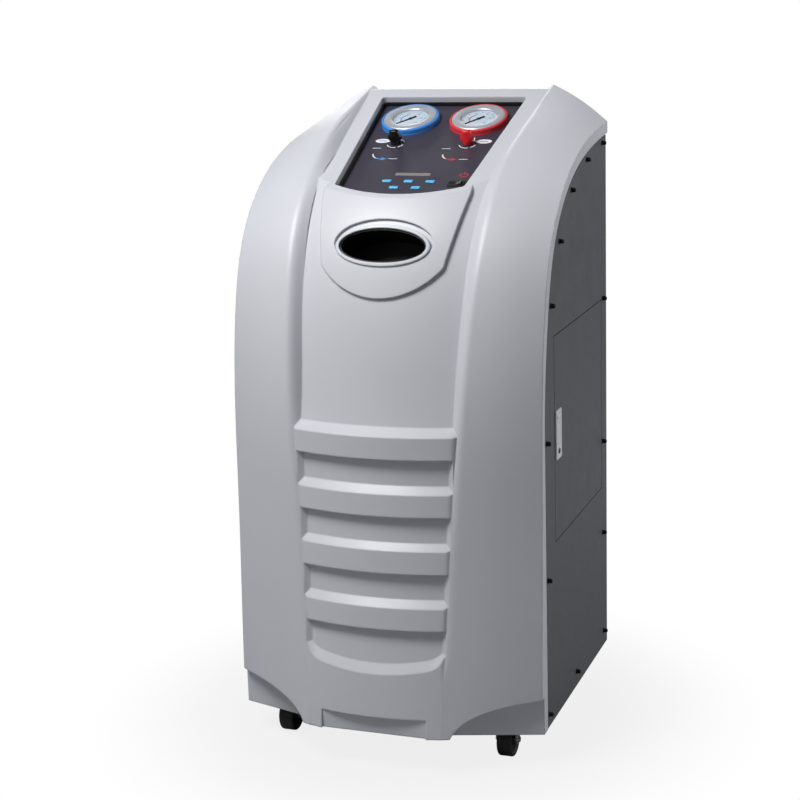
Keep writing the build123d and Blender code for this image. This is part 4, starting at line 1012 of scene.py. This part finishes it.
# Turned outlines as (radius, height above the panel)
GAUGE_CASE = [(0, -44), (6, -44), (6, -28), (36, -28), (36, 0.2), (39.6, 0.2), (40, 0.8), (40, 7.4),
              (39.6, 8.7), (38.6, 9.6), (37, 10), (29.4, 9.6), (27.4, 9.2), (26.5, 8.7), (26, 8),
              (26, 5.2), (34.4, 5.2), (34.4, -1), (0, -1)]
GAUGE_BOOT = [(40, 0), (43.5, 0), (43.5, 1.2), (43.1, 1.7), (43.4, 6.2), (43.1, 7.8), (42.2, 8.8),
              (40.9, 9.2), (40, 9.1)]
KNOB_STEM = [(0, -28), (3, -28), (3, 1), (0, 1)]

# Dial: face height, first tick's angle, sweep, figures and their radius
DIAL_H = 5.66
DIAL_START = 225
DIAL_SWEEP = 270
DIAL_FIGURES = (0, 5, 10, 15, 20, 25)
FIGURE_RADIUS = 17

# Valve knob as (height, length, width): round at its foot, a tapered wing above
KNOB_RINGS = [(0.5, 12.4, 12.4), (0.9, 14.2, 14.2), (2.4, 15, 15), (5.6, 15, 15), (6.8, 17, 14.4),
              (8.2, 20, 13.6), (9.6, 21, 13), (12, 19.6, 12), (19.5, 14.4, 9.4), (21.2, 12.8, 8.4),
              (21.9, 11, 7), (22, 8, 4.6)]
KNOB_COLLAR = 7

# Keys: rows as (place up the slope, places across), half length and width, cap as (height, gap)
KEY_ROWS = ((33.0, (-32.3, 0, 32.3)), (14.8, (-16.15, 16.15)))
KEY_HALF = (6.6, 2.9)
KEY_RINGS = ((-1.6, 0), (0.3, 0), (0.62, 0.12), (0.8, 0.35), (0.88, 0.8))


def panel_frame(x, s, h):
    """Places a shape drawn about the origin, Z up, on the instrument panel."""
    turn = Matrix(((1, 0, 0), PANEL_ALONG, PANEL_UP)).transposed().to_4x4()
    return Matrix.Translation(panel_point(x, s, h) * MM) @ turn


def on_panel(obj, x, s, h):
    """Moves a shape drawn about the origin to its place on the instrument panel."""
    obj.data.transform(panel_frame(x, s, h))
    return obj


def turned_on_panel(name, outline, x, s, steps=96):
    """A turned piece standing on the instrument panel."""
    return lathe(name, outline, panel_point(x, s, 0), PANEL_UP, (1, 0, 0), steps)


def print_plate(name, outline, x=0.0, s=0.0, height=0.12):
    """A printed area: an outline in panel coordinates, just above the panel's face."""
    return prism(name, [(x + u, s + v) for u, v in outline],
                 lambda u, v, w: tuple(panel_point(u, v, w)), 0.02, height)


def band(points, width):
    """The outline of a line of the given width through points."""
    left, right = [], []
    for i, p in enumerate(points):
        a = Vector(points[max(i - 1, 0)])
        b = Vector(points[min(i + 1, len(points) - 1)])
        along = (b - a).normalized()
        aside = Vector((-along.y, along.x)) * width / 2
        left.append(tuple(Vector(p) + aside))
        right.append(tuple(Vector(p) - aside))
    return left + right[::-1]


def ring_part(radius, width, start, end, count=40):
    """The outline of a part of a ring, from start to end degrees."""
    angles = np.radians(np.linspace(start, end, count))
    return band([(radius * math.cos(a), radius * math.sin(a)) for a in angles], width)


def digits(text, size, x, s, h):
    """Raised figures on the panel's slope."""
    curve = bpy.data.curves.new("figure", "FONT")
    curve.body = text
    curve.size = size * MM
    curve.align_x = "CENTER"
    curve.align_y = "CENTER"
    curve.extrude = 0.04 * MM
    holder = bpy.data.objects.new("figure", curve)
    bpy.context.scene.collection.objects.link(holder)
    bpy.context.view_layer.update()
    graph = bpy.context.evaluated_depsgraph_get()
    mesh = bpy.data.meshes.new_from_object(holder.evaluated_get(graph))
    bpy.data.objects.remove(holder)
    return on_panel(link(mesh, "figure"), x, s, h)


class MACHINE_OT_gauges(bpy.types.Operator):
    """Two pressure gauges: case, rubber boot, dial with its scale, pointer and glass"""
    bl_idname = "machine.gauges"
    bl_label = "Gauges"

    def execute(self, context):
        ticks = tick_tree()
        count = context.scene.machine_shape.tick_count
        for name, side, rubber in (("low", -1, "blue_rubber"), ("high", 1, "red_rubber")):
            x = side * GAUGE_X
            case = turned_on_panel(name + "_bezel", GAUGE_CASE, x, GAUGE_S)
            finish(case, FINISH["bezel"], replaces=[name + "_gauge_case"], angle=28)
            boot = turned_on_panel(name + "_boot", GAUGE_BOOT, x, GAUGE_S)
            finish(boot, FINISH[rubber], replaces=[name + "_gauge_boot"], angle=40)
            face = mesh_from(name + "_ticks", [(0, 0, 0)], [])
            face = grow(face, ticks, {"Material": FINISH["print_black"], "Count": count,
                                      "Radius": 23.6 * MM, "Length": 1.6 * MM, "Width": 0.3 * MM,
                                      "Sweep": math.radians(-DIAL_SWEEP),
                                      "Start": math.radians(DIAL_START)})
            on_panel(face, x, GAUGE_S, DIAL_H)
            marks = [face]
            for step, figure in enumerate(DIAL_FIGURES):
                turn = math.radians(DIAL_START - DIAL_SWEEP * step / (len(DIAL_FIGURES) - 1))
                marks.append(digits(str(figure), 4.2, x + FIGURE_RADIUS * math.cos(turn),
                                    GAUGE_S + FIGURE_RADIUS * math.sin(turn), DIAL_H))
            finish(joined(name + "_scale", marks), FINISH["print_black"], angle=30)
            arc = ring_part(14.2, 1.6, DIAL_START, 120)
            plate = prism(name + "_zone", [(x + u, GAUGE_S + v) for u, v in arc],
                          lambda u, v, w: tuple(panel_point(u, v, w)), 5.6, 5.68)
            finish(plate, FINISH["print_blue" if side < 0 else "print_red"], angle=30)
        return {"FINISHED"}


def fin_knob(name, x):
    """A valve knob: round collar and a tapered wing."""
    loops = []
    for h, length, width in KNOB_RINGS:
        power = 2.0 if h < KNOB_COLLAR else 2.6
        loop = []
        for a in np.linspace(0, 2 * math.pi, 65)[:-1]:
            c, d = math.cos(a), math.sin(a)
            u = math.copysign(abs(c) ** (2 / power), c) * length / 2
            v = math.copysign(abs(d) ** (2 / power), d) * width / 2
            loop.append(tuple(panel_point(x + u, KNOB_S + v, h)))
        loops.append(loop)
    return skin(name, loops)


class MACHINE_OT_controls(bpy.types.Operator):
    """Valve knobs, keys and everything printed on the instrument panel"""
    bl_idname = "machine.controls"
    bl_label = "Controls"

    def execute(self, context):
        for name, side, key in (("low", -1, "gloss_black"), ("high", 1, "gloss_red")):
            knob = fin_knob(name + "_knob", side * KNOB_X)
            stem = turned_on_panel("stem", KNOB_STEM, side * KNOB_X, KNOB_S, 32)
            knob = joined(name + "_knob", [knob, stem])
            finish(knob, FINISH[key], body=name + "_valve_knob", replaces=[name + "_valve_knob"],
                   angle=42)
        number = 0
        half_u, half_v = KEY_HALF
        plan = rounded([(-half_u, -half_v), (half_u, -half_v), (half_u, half_v), (-half_u, half_v)],
                       1.4, 5)
        for row, columns in KEY_ROWS:
            for x in columns:
                number += 1
                loops = []
                for h, gap in KEY_RINGS:
                    shrink_u, shrink_v = 1 - gap / half_u, 1 - gap / half_v
                    loops.append([tuple(panel_point(x + u * shrink_u, row + v * shrink_v, h))
                                  for u, v in plan])
                node = "key_%d" % number
                finish(skin(node + "_cap", loops), FINISH["key"], body=node, replaces=[node],
                       angle=50)
        white, blue, red = [], [], []
        for side, shade in ((-1, blue), (1, red)):
            x = side * KNOB_X
            for start, end in ((200, 285), (300, 345), (15, 70)):
                white.append(print_plate("ring", ring_part(12.6, 1.5, start, end), x, KNOB_S))
            # A swinging arrow between two dashes, and an oval with a lead line
            swing = arc_through((-9, 9), (-2, -3), (9, -6), 24)
            corner = side * GAUGE_X - 17
            white.append(print_plate("swing", band(swing[:14], 1.9), corner, 104))
            shade.append(print_plate("swing", band(swing[13:], 2.1), corner, 104))
            shade.append(print_plate("head", [(8, -10.4), (16, -5.4), (7, -1.6)], corner, 104))
            for u, v in ((corner + 19, 99), (corner - 16, 131)):
                white.append(print_plate("dash", [(0, -0.6), (13, -0.6), (13, 0.6), (0, 0.6)], u,
                                         v))
            oval = [(11.5 * math.cos(a), 6.4 * math.sin(a))
                    for a in np.linspace(0, 2 * math.pi, 49)[:-1]]
            mark = [(-6, -0.8), (6, -0.8), (6, 0.8), (-6, 0.8)]
            line = [(-side * 10, 0), (-side * 16, 2), (-side * 18, 12)]
            white.append(print_plate("oval", oval, side * OVAL_X, OVAL_S))
            shade.append(print_plate("mark", mark, side * OVAL_X, OVAL_S, 0.2))
            white.append(print_plate("line", band(line, 2.0), side * OVAL_X, OVAL_S))
        for shape in (ring_part(5.4, 1.4, -240, 60),
                      [(-0.8, 1), (0.8, 1), (0.8, 8.2), (-0.8, 8.2)]):
            red.append(print_plate("power", shape, 76, 53))
        for name, pieces in (("white", white), ("blue", blue), ("red", red)):
            finish(joined("panel_print_" + name, pieces), FINISH["print_" + name], angle=30)
        # A black strip like a gasket between the panel and the window's edge; its black is painted
        # shade for the shadowed recess wall
        strip = carve(window_block(-0.3, 0.05, 5.5), window_block(-3.2, -1, 9), "DIFFERENCE")
        finish(strip, FINISH["black"], angle=30)
        return {"FINISHED"}


# Screws, castors, condenser and fan

# Tyre and hub as (radius, place along the axle)
TYRE = rounded([(17.5, -10.4), (25, -11), (25, 11), (17.5, 10.4)], 5, 8)
HUB = [(4.1, -10.2), (7.5, -10.2), (8.2, -8.6), (9, -7.2), (15, -6.4), (16, -8.8), (17.6, -9.6),
       (17.6, 9.6), (16, 8.8), (15, 6.4), (9, 7.2), (8.2, 8.6), (7.5, 10.2), (4.1, 10.2)]

# Condenser: depth of its middle, its size, and the tubes' radius, columns and rows
COIL_Y = 145
COIL_HALF_LENGTH = 110
COIL_HEIGHT = 150
TUBE_RADIUS = 4.5
TUBE_COLUMNS = (-11, 11)
TUBE_ROWS = (15, 45, 75, 105, 135)

# Fan blade: from the hub to the tip, and its section as (share of the chord, half thickness)
FAN_Y = 199
BLADE_ROOT, BLADE_TIP = 19, 67.5
BLADE_STEPS = 12
BLADE_COUNT = 7
BLADE_SECTION = ((-1, 0), (-0.5, 0.7), (0, 0.9), (0.5, 0.7), (1, 0), (0.5, -0.7), (0, -0.9),
                 (-0.5, -0.7))
FAN_HUB = [(2.56, -10), (18.6, -10), (20, -8.6), (20, 10), (2.56, 10)]


class MACHINE_OT_screws(bpy.types.Operator):
    """Flanged screws along the edges of the side panels"""
    bl_idname = "machine.screws"
    bl_label = "Panel screws"

    def execute(self, context):
        shape = context.scene.machine_shape
        points = [(side * HALF_WIDTH, y, z) for side in (-1, 1) for y, z in SCREW_PLACES]
        heads = mesh_from("panel_screw_heads", points, [])
        heads = grow(heads, screw_tree(),
                     {"Material": FINISH["screw"], "Radius": shape.screw_radius * MM,
                      "Height": shape.screw_height * MM, "Seed": 7})
        if len(heads.data.polygons) < 500:
            raise RuntimeError("the screws are missing")
        finish(heads, FINISH["screw"], replaces=["panel_screws"], angle=30)
        return {"FINISHED"}


class MACHINE_OT_castors(bpy.types.Operator):
    """Castor wheels: tyre and hub"""
    bl_idname = "machine.castors"
    bl_label = "Castor wheels"

    def execute(self, context):
        for corner, (x, y) in CASTORS.items():
            node = "castor_wheel_" + corner
            for name, outline, key in (("tyre", TYRE, "tread"), ("hub", HUB, "nylon")):
                part = lathe(node + "_" + name, outline, (x, y, AXLE_Z), (1, 0, 0), (0, 1, 0), 72)
                finish(part, FINISH[key], body=node, replaces=[node] if name == "tyre" else (),
                       angle=32)
        return {"FINISHED"}


class MACHINE_OT_condenser(bpy.types.Operator):
    """Condenser coil: thin fins over two columns of tube"""
    bl_idname = "machine.condenser"
    bl_label = "Condenser"

    def execute(self, context):
        count = context.scene.machine_shape.fin_count
        low = SHELF_TOP
        length = 2 * COIL_HALF_LENGTH
        tube = [(0, 0), (TUBE_RADIUS, 0), (TUBE_RADIUS, length), (0, length)]
        pieces = []
        for column in TUBE_COLUMNS:
            for row in TUBE_ROWS:
                pieces.append(lathe("tube", tube, (-COIL_HALF_LENGTH, COIL_Y + column, low + row),
                                    (1, 0, 0), (0, 1, 0), 24))
        for end in (-COIL_HALF_LENGTH - 4, COIL_HALF_LENGTH):
            pieces.append(box(end, end + 4, COIL_Y - 22, COIL_Y + 22, low, low + COIL_HEIGHT))
        first = COIL_HALF_LENGTH - 4
        coil = grow(joined("condenser_coil", pieces), row_tree(),
                    {"Material": FINISH["aluminium"], "Count": count,
                     "Pitch": 2 * first * MM / (count - 1),
                     "Size": (0.3 * MM, 42 * MM, (COIL_HEIGHT - 2) * MM),
                     "First": (-first * MM, COIL_Y * MM, (low + COIL_HEIGHT / 2) * MM)})
        finish(coil, FINISH["aluminium"], replaces=["condenser"], angle=30)
        return {"FINISHED"}


class MACHINE_OT_fan(bpy.types.Operator):
    """Fan rotor: hub and curved blades"""
    bl_idname = "machine.fan"
    bl_label = "Fan rotor"

    def execute(self, context):
        centre = (0, FAN_Y, FAN_Z)
        loops = []
        for step in range(BLADE_STEPS + 1):
            share = step / BLADE_STEPS
            r = BLADE_ROOT + (BLADE_TIP - BLADE_ROOT) * share
            # The blade flattens and widens towards its tip
            pitch = math.radians(42 - 20 * share)
            chord = 11 + 3.5 * share
            loop = []
            for t, thick in BLADE_SECTION:
                u = t * chord
                camber = 1.6 * (1 - t * t)
                side = u * math.cos(pitch) - (thick + camber) * math.sin(pitch)
                along = u * math.sin(pitch) + (thick + camber) * math.cos(pitch)
                loop.append((side, max(-9.6, min(9.6, along)),
                             math.sqrt(max(r * r - side ** 2, 1))))
            loops.append(loop)
        blade = skin("fan_blades", loops)
        hub = lathe("hub", FAN_HUB, centre, (0, 1, 0), (1, 0, 0), 64)
        rotor = grow(blade, wheel_tree(), {"Material": FINISH["nylon"], "Count": BLADE_COUNT,
                                           "Centre": [c * MM for c in centre], "Hub": hub})
        bpy.data.objects.remove(hub)
        finish(rotor, FINISH["nylon"], body="fan_rotor", replaces=["fan_rotor"], angle=35)
        return {"FINISHED"}


# Solids that keep their own shape

KEPT = {
    "grip_cup": "black", "instrument_panel": "overlay", "control_board": "board",
    "display": "display", "power_switch_housing": "black", "power_rocker": "gloss_black",
    "manifold_block": "brass", "left_side_panel": "sheet", "right_side_panel": "sheet",
    "rear_panel": "sheet", "service_door": "sheet", "latch_housing": "chrome",
    "latch_paddle": "chrome", "latch_button": "gloss_black", "base_tray": "galvanised",
    "chassis_frame": "shell", "equipment_shelf": "galvanised", "castor_plates": "zinc",
    "storage_tank": "tank", "tank_liquid_handwheel": "gloss_black",
    "tank_gas_handwheel": "gloss_red", "weighing_scale": "aluminium", "compressor": "shell",
    "vacuum_pump": "casting", "fan_shroud": "nylon", "filter_drier": "orange",
    "service_ports": "brass", "power_inlet": "nylon", "low_gauge_pointer": "gloss_black",
    "high_gauge_pointer": "gloss_black", "low_gauge_lens": "lens", "high_gauge_lens": "lens",
    "low_gauge_dial": "card", "high_gauge_dial": "card",
}


class MACHINE_OT_kept(bpy.types.Operator):
    """Finishes on the solids whose shape is right as it is"""
    bl_idname = "machine.kept"
    bl_label = "Plain solids"

    def execute(self, context):
        kept = dict(KEPT)
        for corner in CASTORS:
            kept["castor_fork_" + corner] = "zinc"
            if corner.startswith("front"):
                kept["brake_pedal_" + corner] = "pedal"
        for name, key in kept.items():
            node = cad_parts[name]
            if not node.material_slots:
                raise RuntimeError("no material slot on " + name)
            for place in node.material_slots:
                place.material = FINISH[key]
        return {"FINISHED"}


# Stage

# Lamps as (name, place in metres, size in metres), all turned to a point halfway up the machine
LAMPS = (("key", (-0.65, -1.05, 2.2), 0.8), ("fill", (-2.2, -2.0, 1.3), 1.6),
         ("side", (2.3, 1.15, 1.35), 1.4), ("rear", (-0.9, 2.8, 1.7), 1.5))
LAMPS_AIM = Vector((0, 0, 0.5))

# Camera: place in metres, its right, up and back directions, and lens in millimetres
CAMERA_PLACE = (0.85460, -2.42464, 1.10438)
CAMERA_AXES = (Vector((0.94151191, 0.33569353, -0.02941404)),
               Vector((-0.05268571, 0.23285438, 0.97108344)),
               Vector((0.33283561, -0.91273693, 0.23692142)))
CAMERA_LENS = 82.04
FLOOR_HALF = 6000


class MACHINE_OT_stage(bpy.types.Operator):
    """Pale floor, soft lamps and the camera"""
    bl_idname = "machine.stage"
    bl_label = "Stage"

    def execute(self, context):
        scene = context.scene
        stage = scene.machine_stage
        scene.view_settings.view_transform = "Standard"
        material, tree, output = new_material("Studio floor, pale")
        # Under the machine the floor takes its shadow; further out the camera sees it white
        place = add_node(tree, "ShaderNodeTexCoord")
        reach = add_node(tree, "ShaderNodeVectorMath", {"operation": "LENGTH"},
                         i0=(place, "Object"))
        fade = add_node(tree, "ShaderNodeMapRange", {"interpolation_type": "SMOOTHSTEP"},
                        i0=(reach, "Value"), i1=0.24, i2=0.54, i3=0.84, i4=1.0)
        rays = add_node(tree, "ShaderNodeLightPath")
        seen = add_node(tree, "ShaderNodeMath", {"operation": "MULTIPLY"}, i0=(fade, 0),
                        i1=(rays, "Is Camera Ray"))
        matt = add_node(tree, "ShaderNodeBsdfDiffuse", Color=linear("#9C9C9C"))
        white = add_node(tree, "ShaderNodeEmission", Color=linear("#FFFFFF"), Strength=1.0)
        mix = add_node(tree, "ShaderNodeMixShader", i0=(seen, 0), i1=(matt, 0), i2=(white, 0))
        tree.links.new(mix.outputs[0], output.inputs[0])
        corners = [(-FLOOR_HALF, -FLOOR_HALF, 0), (FLOOR_HALF, -FLOOR_HALF, 0),
                   (FLOOR_HALF, FLOOR_HALF, 0), (-FLOOR_HALF, FLOOR_HALF, 0)]
        floor = mesh_from("studio_floor", corners, [(0, 1, 2, 3)])
        floor.data.materials.append(material)

        # Soft light from all sides, with white behind the machine
        world = bpy.data.worlds.new("Studio")
        scene.world = world
        world.use_nodes = True
        tree = world.node_tree
        tree.nodes.clear()
        output = tree.nodes.new("ShaderNodeOutputWorld")
        rays = add_node(tree, "ShaderNodeLightPath")
        shown = add_node(tree, "ShaderNodeMath", {"operation": "MAXIMUM"},
                         i0=(rays, "Is Camera Ray"), i1=(rays, "Is Transmission Ray"))
        soft = add_node(tree, "ShaderNodeBackground", Color=linear("#E8E8F6"),
                        Strength=stage.ambient)
        white = add_node(tree, "ShaderNodeBackground", Color=linear("#FFFFFF"), Strength=1.0)
        mix = add_node(tree, "ShaderNodeMixShader", i0=(shown, 0), i1=(soft, 0), i2=(white, 0))
        tree.links.new(mix.outputs[0], output.inputs[0])

        for name, spot, size in LAMPS:
            lamp = bpy.data.lights.new(name, "AREA")
            lamp.shape = "SQUARE"
            lamp.size = size
            lamp.energy = getattr(stage, name + "_power")
            holder = bpy.data.objects.new(name, lamp)
            scene.collection.objects.link(holder)
            holder.location = spot
            holder.rotation_euler = (LAMPS_AIM - Vector(spot)).to_track_quat("-Z", "Y").to_euler()

        camera = bpy.data.cameras.new("view")
        camera.sensor_width = 36
        camera.lens = CAMERA_LENS
        camera.clip_end = 50
        holder = bpy.data.objects.new("view", camera)
        scene.collection.objects.link(holder)
        turn = Matrix(CAMERA_AXES).transposed().to_4x4()
        holder.matrix_world = Matrix.Translation(CAMERA_PLACE) @ turn
        scene.camera = holder
        return {"FINISHED"}


class MACHINE_PT_sidebar(bpy.types.Panel):
    """Settings and pieces of the machine"""
    bl_idname = "MACHINE_PT_sidebar"
    bl_label = "Recharge machine"
    bl_space_type = "VIEW_3D"
    bl_region_type = "UI"
    bl_category = "Machine"

    def draw(self, context):
        for group in (context.scene.machine_finish, context.scene.machine_shape,
                      context.scene.machine_stage):
            for name in group.bl_rna.properties.keys():
                if name not in ("rna_type", "name"):
                    self.layout.prop(group, name)
        for operator in OPERATORS:
            self.layout.operator(operator.bl_idname)


OPERATORS = [MACHINE_OT_cover, MACHINE_OT_gauges, MACHINE_OT_controls, MACHINE_OT_screws,
             MACHINE_OT_castors, MACHINE_OT_condenser, MACHINE_OT_fan, MACHINE_OT_kept,
             MACHINE_OT_stage]
CLASSES = [MachineFinish, MachineShape, MachineStage, *OPERATORS, MACHINE_PT_sidebar]


def register():
    for item in CLASSES:
        bpy.utils.register_class(item)
    bpy.types.Scene.machine_finish = bpy.props.PointerProperty(type=MachineFinish)
    bpy.types.Scene.machine_shape = bpy.props.PointerProperty(type=MachineShape)
    bpy.types.Scene.machine_stage = bpy.props.PointerProperty(type=MachineStage)


def unregister():
    for name in ("machine_finish", "machine_shape", "machine_stage"):
        delattr(bpy.types.Scene, name)
    for item in reversed(CLASSES):
        bpy.utils.unregister_class(item)


def main():
    register()
    FINISH.update(finishes())
    for operator in OPERATORS:
        group, name = operator.bl_idname.split(".")
        getattr(getattr(bpy.ops, group), name)()


if __name__ == "__main__":
    main()
